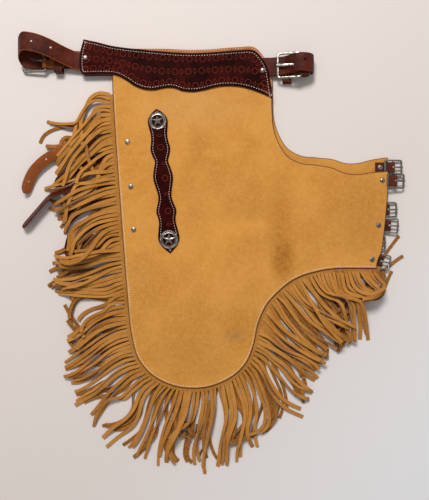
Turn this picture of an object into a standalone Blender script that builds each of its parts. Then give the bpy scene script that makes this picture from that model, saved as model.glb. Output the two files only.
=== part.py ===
"""Fringed leather chaps (chinks), folded flat: one leg lies on the other, outer faces out.

Lengths are in millimetres and are turned to metres when a mesh is made. X runs along the waist belt,
Y from the fringed hem up to the belt, Z up from the table. "near" pieces belong to the leg on top,
"far" pieces to the leg underneath, which lies with its outer face down.
"""

from math import atan2, cos, hypot, pi, radians, sin

import bmesh
import bpy
from mathutils import Matrix, Vector

MM = 0.001
ORIGIN_SHIFT = (3.5, 0.2)  # puts the origin at the middle of the footprint

# Thicknesses of the leathers, and the air left between pieces that touch.
SUEDE, YOKE, LINING, BELT, LEG_STRAP, HEADING = 2.0, 2.6, 1.3, 2.8, 2.0, 1.8
GAP = 0.3

# Undersides of the layers, from the table up.
FAR_PANEL_Z = 0.0
FAR_HEADING_Z = FAR_PANEL_Z + SUEDE + GAP
LEG_BILLET_Z = FAR_HEADING_Z + HEADING + GAP
NEAR_HEADING_Z = LEG_BILLET_Z + LEG_STRAP + GAP
NEAR_PANEL_Z = NEAR_HEADING_Z + HEADING + GAP
NEAR_TOP_Z = NEAR_PANEL_Z + SUEDE
NEAR_YOKE_Z = NEAR_TOP_Z + GAP
FAR_TUCK_Z = YOKE + GAP  # the far panel and the far straps on the back of the far yoke
LINING_Z = 6.1
BELT_Z = NEAR_YOKE_Z - GAP - BELT

FAR_SHIFT = (2.0, 14.0)  # the far leg lies a little higher than the near one
FAR_YOKE_SHIFT = (1.0, 7.5)
HEADING_WIDTH = 9.0
HEADING_OUT = 4.5  # how far the heading shows past the panel's edge
FOOT = 10.0  # where the fringe has come down to its own thickness outside the panel
SAG_START, SAG_END = 100.0, 165.0  # distance from the edge over which the near panel sinks

# The fringed edge of a leg, from the yoke down, round the hem and up to the thigh wrap.
FRINGED_EDGE = [
    (-178, 290), (-171, 225), (-164, 146), (-156, 48), (-151, -76), (-146, -132), (-134, -177),
    (-109, -207), (-74, -225), (-43, -230), (-8, -227), (32, -209), (55, -186), (68, -156),
    (77, -116), (93, -82), (125, -50), (146, -37), (176, -27), (210, -21.5), (250, -21),
]
# The rest of a leg: the wrap's straight end, the top of the thigh and the tuck under the yoke.
PLAIN_EDGE = [
    (284, -21), (292, 10), (298, 64), (303, 118), (303, 149), (274, 147), (249, 143.5), (227, 146),
    (205, 155), (178, 160), (151, 163), (127, 176), (111, 201), (103, 227), (101, 253), (100, 297),
    (50, 300), (-60, 328), (-178, 338),
]
# The near yoke: its ends, its scalloped lower edge and its top edge.
YOKE_OUTLINE = [
    (-228, 378), (-234, 353), (-234, 325), (-230, 317), (-172, 316), (-155, 308), (-138, 297),
    (-122, 291), (-106, 290), (-83, 294), (-70, 293.5), (-56, 288.5), (-37, 287), (-20, 289.5),
    (8, 296), (32, 297), (53, 294), (78, 286), (101, 276), (97, 305), (92, 329), (82, 346),
    (68, 358.5), (36, 358.5), (-10, 355), (-45, 354), (-81, 356), (-130, 361), (-175, 366),
    (-204, 373),
]

# Reach of the fringe: share of the fringed edge, and where the strips end.
FRINGE_REACH = [
    (0.00, -207, 284), (0.02, -232, 263), (0.05, -298, 244), (0.09, -305, 193), (0.13, -270, 151),
    (0.17, -295, 113), (0.21, -281, 76), (0.26, -265, 29), (0.30, -283, -1), (0.345, -291, -57),
    (0.385, -267, -95), (0.43, -272, -172), (0.47, -258, -225), (0.515, -216, -277),
    (0.56, -148, -321), (0.60, -87, -361), (0.65, -17, -386), (0.70, 53, -366),
    (0.75, 106, -321), (0.80, 165, -272), (0.85, 186, -213), (0.89, 206, -178),
    (0.93, 248, -158), (0.965, 278, -138), (1.00, 306, -92),
]

# Rivets through the near panel beside the leg billets, and beside the leg buckles.
BILLET_RIVETS = [(-152, 200), (-146, 122), (-141, 47)]
FAR_BILLET_RIVETS = [(-150, 174), (-144, 98), (-138, 23)]
YOKE_RIVETS = [(-225, 346), (84, 324)]
RIVET_HOLE, RIVET_SHANK, RIVET_CAP = 2.4, 2.0, 4.4

# Leg billets: name and the middle of the strap from the rivet to the tip.
LEG_BILLETS = {
    "leg_billet_near_1": [(-143, 201), (-175, 198), (-205, 194), (-250, 182), (-286, 174), (-310, 156),
                          (-326, 131), (-334, 108)],
    "leg_billet_near_2": [(-137, 122), (-170, 122), (-200, 121), (-250, 116), (-290, 106), (-312, 82),
                          (-327, 62), (-334, 50)],
    "leg_billet_near_3": [(-132, 46), (-170, 49), (-200, 54), (-225, 56), (-244, 44), (-253, 22),
                          (-256, 0)],
    "leg_billet_far_1": [(-141, 174), (-170, 173), (-203, 168), (-234, 159), (-256, 147), (-268, 134)],
    "leg_billet_far_2": [(-135, 98), (-170, 98), (-200, 95), (-232, 86), (-252, 72), (-262, 58)],
    "leg_billet_far_3": [(-130, 22), (-160, 23), (-190, 27), (-215, 30), (-224, 22), (-229, 4)],
}
LEG_STRAP_WIDTH = 19.0

# Leg buckles: bar's place, turn about Z, tilt that lifts the left side, rise of the strap's flat end
# above the bar, where its rivet goes (before the bar), and the tongue's swing.
LEG_BUCKLES = [
    # name, x, y, z, turn, tilt, flat_rise, rivet_back, swing
    ("near_1", 316.0, 132.0, 10.2, -2.0, 9.0, -3.0, 23.0, 100),
    ("near_2", 306.0, 54.0, 5.4, -3.0, -4.5, 1.8, 20.0, 90),
    ("near_3", 292.0, -8.5, 5.4, -12.0, -4.5, 1.8, 17.5, 90),
    ("far_1", 313.0, 156.0, 5.5, 0.0, 4.0, -1.9, 22.0, 100),
    ("far_2", 304.0, 82.0, 5.5, 0.0, 4.0, -1.9, 22.0, 90),
    ("far_3", 284.0, 24.0, 5.5, 0.0, 4.0, -1.9, 22.0, 0),
]
FRAME_LONG, FRAME_WIDE, FRAME_BAR, FRAME_THICK = 32.0, 27.0, 2.6, 2.4
CHAPE_PLY, CHAPE_WIDTH, CHAPE_TAIL = 1.2, 18.0, 9.0
TONGUE_WIDTH, TONGUE_THICK, TONGUE_REACH = 3.0, 1.4, 16.6

# Waist belt: strap width, buckle sizes.
BELT_WIDTH = 32.0
BELT_FRAME_LONG, BELT_FRAME_WIDE, BELT_FRAME_BAR, BELT_FRAME_THICK = 44.0, 46.0, 4.2, 3.2
KEEPER_THICK = 1.4

SUEDE_TAN = ((0.61, 0.26, 0.07), 0.95, 0.0)
FRINGE_TAN = ((0.56, 0.22, 0.06), 0.95, 0.0)
MAHOGANY = ((0.06, 0.007, 0.004), 0.4, 0.0)
STRAP_BROWN = ((0.10, 0.016, 0.008), 0.4, 0.0)
LINING_ORANGE = ((0.48, 0.15, 0.03), 0.7, 0.0)
NICKEL = ((0.42, 0.38, 0.33), 0.35, 1.0)


# ---- scene, materials and small geometry ----

def clear_scene():
    for obj in list(bpy.data.objects):
        bpy.data.objects.remove(obj, do_unlink=True)


def make_material(name, look):
    colour, roughness, metallic = look
    material = bpy.data.materials.new(name)
    material.use_nodes = True
    shader = material.node_tree.nodes["Principled BSDF"]
    shader.inputs["Base Color"].default_value = (*colour, 1.0)
    shader.inputs["Roughness"].default_value = roughness
    shader.inputs["Metallic"].default_value = metallic
    return material


def finish_object(name, bm, look, matrix=None):
    """Turns a bmesh in millimetres into a named object in metres, in the object's collection."""
    if matrix is not None:
        bmesh.ops.transform(bm, matrix=matrix, verts=bm.verts)
    bmesh.ops.recalc_face_normals(bm, faces=bm.faces)
    bmesh.ops.scale(bm, vec=(MM, MM, MM), verts=bm.verts)
    mesh = bpy.data.meshes.new(name)
    bm.to_mesh(mesh)
    bm.free()
    obj = bpy.data.objects.new(name, mesh)
    obj.data.materials.append(make_material(name + "_leather" if look[2] == 0.0 else name + "_metal", look))
    parts.objects.link(obj)
    obj.parent = root
    return obj


def circle(x, y, radius, steps=8):
    turns = [2 * pi * i / steps for i in range(steps)]
    return [(x + radius * cos(a), y + radius * sin(a)) for a in turns]


def shifted(points, shift):
    return [(x + shift[0], y + shift[1]) for x, y in points]


def curve_through(points, spacing):
    """A smooth run of points through the given ones (Catmull-Rom), about spacing apart."""
    run = []
    for i in range(len(points) - 1):
        before = points[max(i - 1, 0)]
        a, b = points[i], points[i + 1]
        after = points[min(i + 2, len(points) - 1)]
        steps = max(1, round(hypot(b[0] - a[0], b[1] - a[1]) / spacing))
        for k in range(steps):
            t = k / steps
            run.append(tuple(
                0.5 * (2 * a[c] + (b[c] - before[c]) * t
                       + (2 * before[c] - 5 * a[c] + 4 * b[c] - after[c]) * t ** 2
                       + (3 * a[c] - before[c] - 3 * b[c] + after[c]) * t ** 3)
                for c in range(len(a))))
    run.append(tuple(points[-1]))
    return run


def along(points, share):
    """The place and the left-hand normal at a share of a polyline's length."""
    lengths = [hypot(b[0] - a[0], b[1] - a[1]) for a, b in zip(points, points[1:])]
    left = share * sum(lengths)
    for (a, b), length in zip(zip(points, points[1:]), lengths):
        if left <= length or b is points[-1]:
            t = min(left / length, 1.0)
            place = (a[0] + (b[0] - a[0]) * t, a[1] + (b[1] - a[1]) * t)
            return place, (-(b[1] - a[1]) / length, (b[0] - a[0]) / length)
        left -= length


def distance_to(outline, x, y):
    """How far a point is from an outline."""
    best = 1e9
    for (ax, ay), (bx, by) in zip(outline, outline[1:] + outline[:1]):
        dx, dy = bx - ax, by - ay
        t = max(0.0, min(1.0, ((x - ax) * dx + (y - ay) * dy) / (dx * dx + dy * dy)))
        best = min(best, hypot(x - ax - t * dx, y - ay - t * dy))
    return best


def ramp(value, start, end):
    """0 before start, 1 after end, straight in between."""
    return max(0.0, min(1.0, (value - start) / (end - start)))


def slab(outline, holes, bottom, thickness, cuts_x=(), cuts_y=()):
    """A sheet of leather or metal: a filled outline, cut on straight lines and lifted to bottom(x, y)."""
    bm = bmesh.new()
    for loop in [outline, *holes]:
        verts = [bm.verts.new((x, y, 0)) for x, y in loop]
        for a, b in zip(verts, verts[1:] + verts[:1]):
            bm.edges.new((a, b))
    bmesh.ops.triangle_fill(bm, use_beauty=True, edges=bm.edges)
    for axis, cuts in ((0, cuts_x), (1, cuts_y)):
        for cut in cuts:
            place, normal = [0, 0, 0], [0, 0, 0]
            place[axis], normal[axis] = cut, 1
            geometry = bm.verts[:] + bm.edges[:] + bm.faces[:]
            bmesh.ops.bisect_plane(bm, geom=geometry, plane_co=place, plane_no=normal, dist=1e-4)
    bmesh.ops.triangulate(bm, faces=bm.faces)
    made = bmesh.ops.extrude_face_region(bm, geom=bm.faces[:])["geom"]
    upper = {v for v in made if isinstance(v, bmesh.types.BMVert)}
    for v in bm.verts:
        v.co.z = bottom(v.co.x, v.co.y) + (thickness if v in upper else 0.0)
    return bm


def ribbon(path, width, thickness, side=None, pointed=False):
    """A strap along a path of (x, y, z): a rectangle lofted from end to end.

    The strap's width lies along side, or across the path in plan where side is None.
    """
    points = [Vector(p) for p in path]
    bm = bmesh.new()
    rings = []
    for i, p in enumerate(points):
        tangent = (points[min(i + 1, len(points) - 1)] - points[max(i - 1, 0)]).normalized()
        across = Vector(side).normalized() if side else Vector((-tangent.y, tangent.x, 0)).normalized()
        normal = tangent.cross(across).normalized()
        half = width / 2 * (0.45 if pointed and i == len(points) - 1 else 1.0)
        corners = [(-half, -1), (half, -1), (half, 1), (-half, 1)]
        rings.append([bm.verts.new(p + across * a + normal * (b * thickness / 2)) for a, b in corners])
    for a, b in zip(rings, rings[1:]):
        for k in range(4):
            bm.faces.new((a[k], a[(k + 1) % 4], b[(k + 1) % 4], b[k]))
    bm.faces.new(rings[0])
    bm.faces.new(reversed(rings[-1]))
    bmesh.ops.triangulate(bm, faces=bm.faces)
    return bm


def extruded_profile(outline, holes, width):
    """A plate standing in the XZ plane, width wide along Y and centred on it."""
    bm = slab(outline, holes, lambda x, y: -width / 2, width)
    bmesh.ops.transform(bm, matrix=Matrix.Rotation(radians(90), 4, "X"), verts=bm.verts)
    return bm


def pierce(obj, centre, size, turn=0.0):
    """Cuts a box-shaped slot through an object; centre and size in millimetres, turn about Z in degrees."""
    bm = bmesh.new()
    bmesh.ops.create_cube(bm, size=1.0)
    bmesh.ops.scale(bm, vec=size, verts=bm.verts)
    matrix = Matrix.Translation(centre) @ Matrix.Rotation(radians(turn), 4, "Z")
    bmesh.ops.transform(bm, matrix=matrix, verts=bm.verts)
    bmesh.ops.scale(bm, vec=(MM, MM, MM), verts=bm.verts)
    mesh = bpy.data.meshes.new(obj.name + "_slot")
    bm.to_mesh(mesh)
    bm.free()
    cutter = bpy.data.objects.new(obj.name + "_slot", mesh)
    cutter.hide_render = True
    cutter.display_type = "WIRE"
    cutters.objects.link(cutter)
    cutter.parent = root
    cut = obj.modifiers.new("slot", "BOOLEAN")
    cut.operation = "DIFFERENCE"
    cut.object = cutter


# ---- leg panels, fringes, yokes and lining ----

def leg_outline():
    edge = curve_through(FRINGED_EDGE, 34.0)
    return edge + PLAIN_EDGE


def near_panel_bottom(x, y):
    """The near panel rests on the straps and the fringes near its edge, and sinks in the middle."""
    share = ramp(distance_to(NEAR_OUTLINE, x, y), SAG_START, SAG_END)
    share = share * share * (3 - 2 * share)
    return NEAR_PANEL_Z - share * (NEAR_PANEL_Z - FAR_HEADING_Z)


def far_panel_bottom(x, y):
    """The far panel lies on the table and rises onto the back of the far yoke."""
    return FAR_TUCK_Z * ramp(y, FAR_RISE_START, FAR_RISE_END)


FAR_RISE_START, FAR_RISE_END = 255.0, 278.0
RISE_AHEAD = 10.0  # the heading starts to rise this much before its panel does
NEAR_OUTLINE = leg_outline()


def make_panels():
    buckle_holes = [circle(x, y, RIVET_HOLE) for x, y in buckle_rivets("near")]
    holes = [circle(x, y, RIVET_HOLE) for x, y in BILLET_RIVETS] + buckle_holes
    grid_x = [-100 + 40 * i for i in range(9)]
    grid_y = [-180 + 40 * i for i in range(8)]
    bm = slab(NEAR_OUTLINE, holes, near_panel_bottom, SUEDE, grid_x, grid_y)
    finish_object("leg_panel_near", bm, SUEDE_TAN)
    far_holes = [circle(x, y, RIVET_HOLE) for x, y in FAR_BILLET_RIVETS + buckle_rivets("far")]
    bm = slab(shifted(NEAR_OUTLINE, FAR_SHIFT), far_holes, far_panel_bottom, SUEDE,
              cuts_y=(FAR_RISE_START, FAR_RISE_END))
    finish_object("leg_panel_far", bm, SUEDE_TAN)


def make_fringe(name, reach, shift, heading_z, hem_z, top_z, rise):
    """The reach of a fringe: a heading under the panel's edge, then a skirt that comes down to hem_z.

    rise(x, y) lifts the heading where its panel rises.
    """
    edge = shifted(curve_through(FRINGED_EDGE, 34.0), shift)
    bm = bmesh.new()
    rings = []
    for share, tip_x, tip_y in reach:
        (x, y), inward = along(edge, share)
        tip = (tip_x + shift[0], tip_y + shift[1])
        run = hypot(tip[0] - x, tip[1] - y)
        foot = (x + (tip[0] - x) * FOOT / run, y + (tip[1] - y) * FOOT / run)
        rim = (x - inward[0] * HEADING_OUT, y - inward[1] * HEADING_OUT)
        head = (x + inward[0] * HEADING_WIDTH, y + inward[1] * HEADING_WIDTH)
        lift = rise(x, y + RISE_AHEAD)
        low = [(*head, heading_z + lift), (*rim, heading_z + lift), (*foot, hem_z), (*tip, hem_z)]
        z = heading_z + HEADING + lift
        high = [(*tip, top_z), (*foot, top_z + lift), (*rim, z), (*head, z)]
        rings.append([bm.verts.new(p) for p in low + high])
    for a, b in zip(rings, rings[1:]):
        for k in range(len(a)):
            bm.faces.new((a[k], a[(k + 1) % len(a)], b[(k + 1) % len(a)], b[k]))
    bm.faces.new(rings[0])
    bm.faces.new(reversed(rings[-1]))
    bmesh.ops.triangulate(bm, faces=bm.faces)
    finish_object(name, bm, FRINGE_TAN)


def make_yokes():
    near_holes = [circle(x, y, RIVET_HOLE) for x, y in YOKE_RIVETS]
    finish_object("yoke_near", slab(YOKE_OUTLINE, near_holes, lambda x, y: NEAR_YOKE_Z, YOKE), MAHOGANY)
    far_outline = shifted(YOKE_OUTLINE, FAR_YOKE_SHIFT)
    finish_object("yoke_far", slab(far_outline, [], lambda x, y: 0.0, YOKE), MAHOGANY)
    finish_object("yoke_lining_far", slab(far_outline, [], lambda x, y: LINING_Z, LINING), LINING_ORANGE)


# ---- side strip and conchos ----

STRIP_TOP, STRIP_FOOT = (-101, 257), (-77, 6)
STRIP_TURN = atan2(STRIP_FOOT[0] - STRIP_TOP[0], STRIP_TOP[1] - STRIP_FOOT[1])
STRIP_THICK = 2.2
# Half width of the strip at each distance below its top tip.
STRIP_PROFILE = [
    # down, half_width
    (0, 0.5), (8, 10.5), (19, 16.9), (32, 15.6), (46, 14.2), (58, 15.2), (69, 17.2), (80, 15.2),
    (91, 11.6), (104, 14.6), (120, 17.2), (138, 14.4), (154, 11.5), (168, 14.8), (179, 17.5),
    (190, 15.2), (198, 14.6), (212, 16.8), (228, 18.4), (240, 12.5), (252, 0.5),
]
CONCHO_DOWN = [21.0, 228.5]  # conchos' centres below the strip's top tip
CONCHO_SIZES = [("concho_top", 15.3), ("concho_bottom", 16.3)]
CONCHO_THICK = 2.4


def strip_place(across, down):
    """From the strip's own frame to the leg's."""
    c, s = cos(STRIP_TURN), sin(STRIP_TURN)
    return STRIP_TOP[0] + across * c + down * s, STRIP_TOP[1] + across * s - down * c


def make_side_strip():
    right = [strip_place(half, down) for down, half in STRIP_PROFILE]
    left = [strip_place(-half, down) for down, half in reversed(STRIP_PROFILE)]
    finish_object("side_strip", slab(right + left, [], lambda x, y: NEAR_TOP_Z + GAP, STRIP_THICK), MAHOGANY)


def star_windows(x, y, radius):
    """The five openings between a ring and the star inside it."""
    rim, tip, waist = radius * 0.80, radius * 0.72, radius * 0.33
    windows = []
    for k in range(5):
        start = pi / 2 + 2 * pi * k / 5
        arc = [start + 2 * pi / 5 * t for t in (0.22, 0.5, 0.78)]
        window = [(x + rim * cos(a), y + rim * sin(a)) for a in arc]
        for share, reach in ((0.88, tip * 0.98), (0.5, waist), (0.12, tip * 0.98)):
            a = start + 2 * pi / 5 * share
            window.append((x + reach * cos(a), y + reach * sin(a)))
        windows.append(window)
    return windows


def make_conchos():
    bottom = NEAR_TOP_Z + GAP + STRIP_THICK + GAP
    for (name, radius), down in zip(CONCHO_SIZES, CONCHO_DOWN):
        x, y = strip_place(0, down)
        bm = slab(circle(x, y, radius, 24), star_windows(x, y, radius), lambda u, v: bottom, CONCHO_THICK)
        finish_object(name, bm, NICKEL)


# ---- rivets ----

def make_rivet(name, x, y, foot, seat, cap_height=1.7):
    """A rivet from its foot up to the leather's face at seat, with a domed cap just above it."""
    rim = seat + GAP
    profile = [
        (0.0, foot), (RIVET_SHANK, foot), (RIVET_SHANK, rim), (RIVET_CAP, rim), (RIVET_CAP, rim + 0.5),
        (RIVET_CAP * 0.72, rim + cap_height * 0.8), (0.0, rim + cap_height),
    ]
    bm = bmesh.new()
    verts = [bm.verts.new((r, 0, z)) for r, z in profile]
    edges = [bm.edges.new(pair) for pair in zip(verts, verts[1:])]
    bmesh.ops.spin(bm, geom=verts + edges, axis=(0, 0, 1), cent=(0, 0, 0), steps=10, angle=2 * pi,
                   use_merge=True)
    bmesh.ops.remove_doubles(bm, verts=bm.verts, dist=1e-3)
    finish_object(name, bm, NICKEL, Matrix.Translation((x, y, 0)))


def make_rivets():
    for k, (x, y) in enumerate(BILLET_RIVETS, 1):
        make_rivet(f"rivet_near_billet_{k}", x, y, LEG_BILLET_Z, NEAR_TOP_Z)
    for k, (x, y) in enumerate(buckle_rivets("near"), 1):
        make_rivet(f"rivet_near_buckle_{k}", x, y, CHAPE_NEAR_Z, NEAR_TOP_Z)
    for k, (x, y) in enumerate(FAR_BILLET_RIVETS, 1):
        make_rivet(f"rivet_far_billet_{k}", x, y, 0.0, LEG_BILLET_Z + LEG_STRAP, 0.9)
    for k, (x, y) in enumerate(buckle_rivets("far"), 1):
        make_rivet(f"rivet_far_buckle_{k}", x, y, 0.0, CHAPE_FAR_TOP_Z, 0.9)
    for k, (x, y) in enumerate(YOKE_RIVETS, 1):
        make_rivet(f"rivet_yoke_{k}", x, y, BELT_Z, NEAR_YOKE_Z + YOKE)


# ---- leg billets and leg buckles ----

def make_leg_billets():
    for name, route in LEG_BILLETS.items():
        middle = LEG_BILLET_Z + LEG_STRAP / 2
        path = [(x, y, middle) for x, y in curve_through(route, 20.0)]
        obj = finish_object(name, ribbon(path, LEG_STRAP_WIDTH, LEG_STRAP, pointed=True), STRAP_BROWN)
        rivets = FAR_BILLET_RIVETS if "far" in name else BILLET_RIVETS
        x, y = rivets[int(name[-1]) - 1]
        pierce(obj, (x, y, middle), (2 * RIVET_HOLE, 2 * RIVET_HOLE, 3 * LEG_STRAP))


def buckle_rivets(leg):
    """Where the rivets of a leg's buckle straps go."""
    places = []
    for name, x, y, _, turn, _, _, back, _ in LEG_BUCKLES:
        if name.startswith(leg):
            places.append((x - back * cos(radians(turn)), y - back * sin(radians(turn))))
    return places


BAR_HALF = 1.0  # half the width of the centre bar
BAR_ROUND = hypot(BAR_HALF, FRAME_THICK / 2)  # the circle that the bar turns in
PLY_MIDDLE = BAR_ROUND + GAP + CHAPE_PLY / 2  # radius of the strap's middle round the bar
FLAT_HALF = (CHAPE_PLY + GAP) / 2  # the two plies' middles above and below the strap's own middle
NEAR_STRAP_Z, FAR_STRAP_Z = 7.2, 3.6  # middles of the doubled buckle straps where they are riveted
CHAPE_NEAR_Z = NEAR_STRAP_Z - FLAT_HALF - CHAPE_PLY / 2
CHAPE_FAR_TOP_Z = FAR_STRAP_Z + FLAT_HALF + CHAPE_PLY / 2


def make_leg_buckle(name, x, y, z, turn, tilt, flat_rise, rivet_back, swing):
    placed = Matrix.Translation((x, y, z)) @ Matrix.Rotation(radians(turn), 4, "Z")
    tilted = placed @ Matrix.Rotation(radians(tilt), 4, "Y")

    # The strap: out to the bar, round it and back, the two plies side by side at the rivet.
    flat = -(rivet_back + CHAPE_TAIL)
    low, high = flat_rise - FLAT_HALF, flat_rise + FLAT_HALF
    lower = [(flat, 0, low), (-13.0, 0, low), (-7.0, 0, flat_rise * 0.5 - 1.1)]
    wrap = [radians(-110 + 40 * k) for k in range(6)]
    bend = [(PLY_MIDDLE * cos(a), 0, PLY_MIDDLE * sin(a)) for a in wrap if -2.0 < a < 2.0]
    upper = [(-7.0, 0, flat_rise * 0.5 + 1.1), (-13.0, 0, high), (flat, 0, high)]
    bm = ribbon(lower + bend + upper, CHAPE_WIDTH, CHAPE_PLY, side=(0, 1, 0))
    chape = finish_object(f"leg_chape_{name}", bm, STRAP_BROWN, placed)
    slot_back = -(BAR_ROUND + GAP + TONGUE_THICK + GAP)
    centre = placed @ Vector(((slot_back + 6.0) / 2, 0, 0))
    pierce(chape, centre, (6.0 - slot_back, TONGUE_WIDTH + 2 * GAP + 0.4, 9.0), turn)
    rivet_middle = placed @ Vector((-rivet_back, 0, flat_rise))
    pierce(chape, rivet_middle, (2 * RIVET_HOLE, 2 * RIVET_HOLE, 6.0), turn)

    # The frame: a rounded plate with two windows, one each side of the bar.
    long_half, wide_half = FRAME_LONG / 2, FRAME_WIDE / 2
    windows = []
    for left, right in ((-long_half + FRAME_BAR, -BAR_HALF), (BAR_HALF, long_half - FRAME_BAR)):
        windows.append(rounded(left, right, wide_half - FRAME_BAR, 1.2))
    outline = rounded(-long_half, long_half, wide_half, 4.0)
    bm = slab(outline, windows, lambda u, v: -FRAME_THICK / 2, FRAME_THICK)
    finish_object(f"leg_buckle_{name}", bm, NICKEL, tilted)

    # The tongue: a ring round the bar in the strap's slot, and an arm that lies on the frame's end.
    finish_object(f"leg_tongue_{name}", tongue(BAR_ROUND + GAP, TONGUE_THICK, TONGUE_REACH, TONGUE_WIDTH),
                  NICKEL, tilted)


def rounded(left, right, half, radius):
    """A rectangle with round corners, from left to right and half up and down."""
    points = []
    for k, (cx, cy) in enumerate([(right, half), (left, half), (left, -half), (right, -half)]):
        mx = cx - radius if cx == right else cx + radius
        my = cy - radius if cy > 0 else cy + radius
        for step in range(3):
            a = pi / 2 * (k + step / 2)
            points.append((mx + radius * cos(a), my + radius * sin(a)))
    return points


def tongue(inner, thick, reach, width):
    """A ring of the given inner radius with an arm along +X at its top."""
    outer = inner + thick
    start = atan2(inner + 0.1, 2.4)
    outline = [(reach, inner + 0.1), (reach, outer)]
    turns = [pi / 2 + k * (1.5 * pi + start) / 10 for k in range(11)]
    outline += [(outer * cos(a), outer * sin(a)) for a in turns]
    return extruded_profile(outline, [circle(0, 0, inner, 10)], width)


# ---- waist belt ----

def belt_buckle(name, matrix, facing):
    """A heel-bar buckle. Its heel bar lies on the matrix's Y axis and its frame runs along +X."""
    bar = BELT_FRAME_BAR
    outline = rounded(-bar / 2, BELT_FRAME_LONG - bar / 2, BELT_FRAME_WIDE / 2, 5.0)
    window = rounded(bar / 2, BELT_FRAME_LONG - 1.5 * bar, BELT_FRAME_WIDE / 2 - bar, 2.0)
    bm = slab(outline, [window], lambda u, v: -BELT_FRAME_THICK / 2, BELT_FRAME_THICK)
    finish_object(f"belt_buckle_{name}", bm, NICKEL, matrix)
    bm = tongue(BELT_RING, 1.6, BELT_FRAME_LONG - bar / 2, 4.0)
    flip = Matrix.Scale(facing, 4, (0, 0, 1))
    finish_object(f"belt_tongue_{name}", bm, NICKEL, matrix @ flip)


BELT_RING = hypot(BELT_FRAME_BAR, BELT_FRAME_THICK) / 2 + 0.2
LOOP_MIDDLE = BELT_RING + BELT / 2


def heel_loop(x, z, start, end, steps=8):
    """The strap's middle round a heel bar, from one angle to another in degrees."""
    angles = [radians(start + (end - start) * k / steps) for k in range(steps + 1)]
    return [(x + LOOP_MIDDLE * cos(a), z + LOOP_MIDDLE * sin(a)) for a in angles]


def belt_strap(name, profile, y_of, pointed=False):
    path = [(x, y_of(x, k), z) for k, (x, z) in enumerate(profile)]
    return finish_object(name, ribbon(path, BELT_WIDTH, BELT, side=(0, 1, 0), pointed=pointed), STRAP_BROWN)


def keeper(name, x, y_low, y_high, z_high, width):
    """A leather band round the straps: an upright rectangle with a window, width long along X."""
    outline = [(y_low, 0), (y_high, 0), (y_high, z_high), (y_low, z_high)]
    t = KEEPER_THICK
    window = [(y_low + t, t), (y_high - t, t), (y_high - t, z_high - t), (y_low + t, z_high - t)]
    bm = slab(outline, [window], lambda u, v: -width / 2, width)
    turn = Matrix.Rotation(radians(90), 4, "Z") @ Matrix.Rotation(radians(90), 4, "X")
    finish_object(name, bm, STRAP_BROWN, Matrix.Translation((x, 0, 0)) @ turn)


def make_right_belt():
    """The near yoke's billet goes under the frame's end, over the heel bar and down round the loop.

    The far yoke's strap runs along the table, turns up inside the loop and holds the heel bar.
    """
    heel_x, heel_z, lean = 149.0, 22.5, 12.0
    billet = [(72, BELT_Z + BELT / 2), (96, BELT_Z + BELT / 2), (112, 10.8), (122, 12.8), (131, 20.5),
              (138, 27.5), (146, 30.8), (155, 30.6), (163.5, 27.0), (169.5, 20.5), (171.5, 13.0),
              (168.5, 7.0)]
    strap = belt_strap("belt_billet_right", billet, lambda x, k: 330.5 + 0.02 * (x - 72))
    chape_z = FAR_TUCK_Z + BELT / 2
    run = [(72, chape_z), (104, chape_z), (118, KEEPER_THICK + GAP + BELT / 2),
           (150, KEEPER_THICK + GAP + BELT / 2), (159.5, 5.5), (164.3, 11.5), (163.0, 18.5), (157.5, 24.3)]
    run += heel_loop(heel_x, heel_z, 60, 290)
    run += [(156.0, 18.2), (158.6, 13.6)]
    chape = belt_strap("belt_chape_right", run, lambda x, k: 330.5 if k > 3 else 333.0 - 2.5 * k / 3)
    placed = (Matrix.Translation((heel_x, 331.5, heel_z)) @ Matrix.Rotation(pi, 4, "Z")
              @ Matrix.Rotation(radians(lean), 4, "Y"))
    belt_buckle("right", placed, 1)
    pierce(chape, (heel_x - 0.5, 331.5, heel_z), (11.5, 5.4, 12.5))
    pierce(strap, (130.5, 331.5, 20.0), (19.0, 5.4, 16.0))
    pierce(strap, (*YOKE_RIVETS[1], BELT_Z + BELT / 2), (2 * RIVET_HOLE, 2 * RIVET_HOLE, 2 * BELT))
    keeper("belt_keeper_right", 127.0, 303.0, 349.0, 2 * KEEPER_THICK + 2 * GAP + BELT + 0.3, 15.0)


def make_left_belt():
    """The near yoke's billet arches out, turns under and runs back along the table.

    The far yoke's strap lies on it and holds the buckle, face down, whose end bar is under the billet.
    """
    heel_x, heel_z, lean = -295.0, 10.6, 8.0
    top = BELT_Z + BELT / 2
    billet = [(-204, top), (-238, top), (-249, 12.5), (-263, 19.5), (-282, 30.0), (-300, 36.5), (-316, 37.6),
              (-329, 33.5), (-337, 24.0), (-338.5, 15.5), (-334, 9.6), (-324, 7.2), (-312, 4.7), (-298, 3.2),
              (-258, 3.2)]
    drift = [340, 341, 344, 349, 357, 363, 366.5, 368, 363, 355, 348, 345, 344.5, 344.5, 344.5]
    strap = belt_strap("belt_billet_left", billet, lambda x, k: drift[k], pointed=True)
    flat = BELT + KEEPER_THICK + 2 * GAP + BELT / 2 + 0.3
    run = [(-204, FAR_TUCK_Z + BELT / 2), (-238, FAR_TUCK_Z + BELT / 2), (-252, flat), (-286, flat)]
    run += heel_loop(heel_x, heel_z, 290, 70)
    run += [(-287.5, flat + BELT + 0.6), (-262, flat + BELT + 0.6)]
    chape = belt_strap("belt_chape_left", run, lambda x, k: 344.0 if k < 2 else 344.5)
    placed = (Matrix.Translation((heel_x, 344.5, heel_z)) @ Matrix.Rotation(pi, 4, "Z")
              @ Matrix.Rotation(radians(lean), 4, "Y"))
    belt_buckle("left", placed, -1)
    pierce(chape, (heel_x + 0.5, 344.5, heel_z), (12.0, 5.4, 13.0))
    pierce(strap, (-312.0, 344.5, 4.8), (22.0, 5.4, 9.0))
    pierce(strap, (*YOKE_RIVETS[0], top), (2 * RIVET_HOLE, 2 * RIVET_HOLE, 2 * BELT))
    keeper("belt_keeper_left", -272.0, 321.0, 363.0, 14.6, 14.0)


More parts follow.
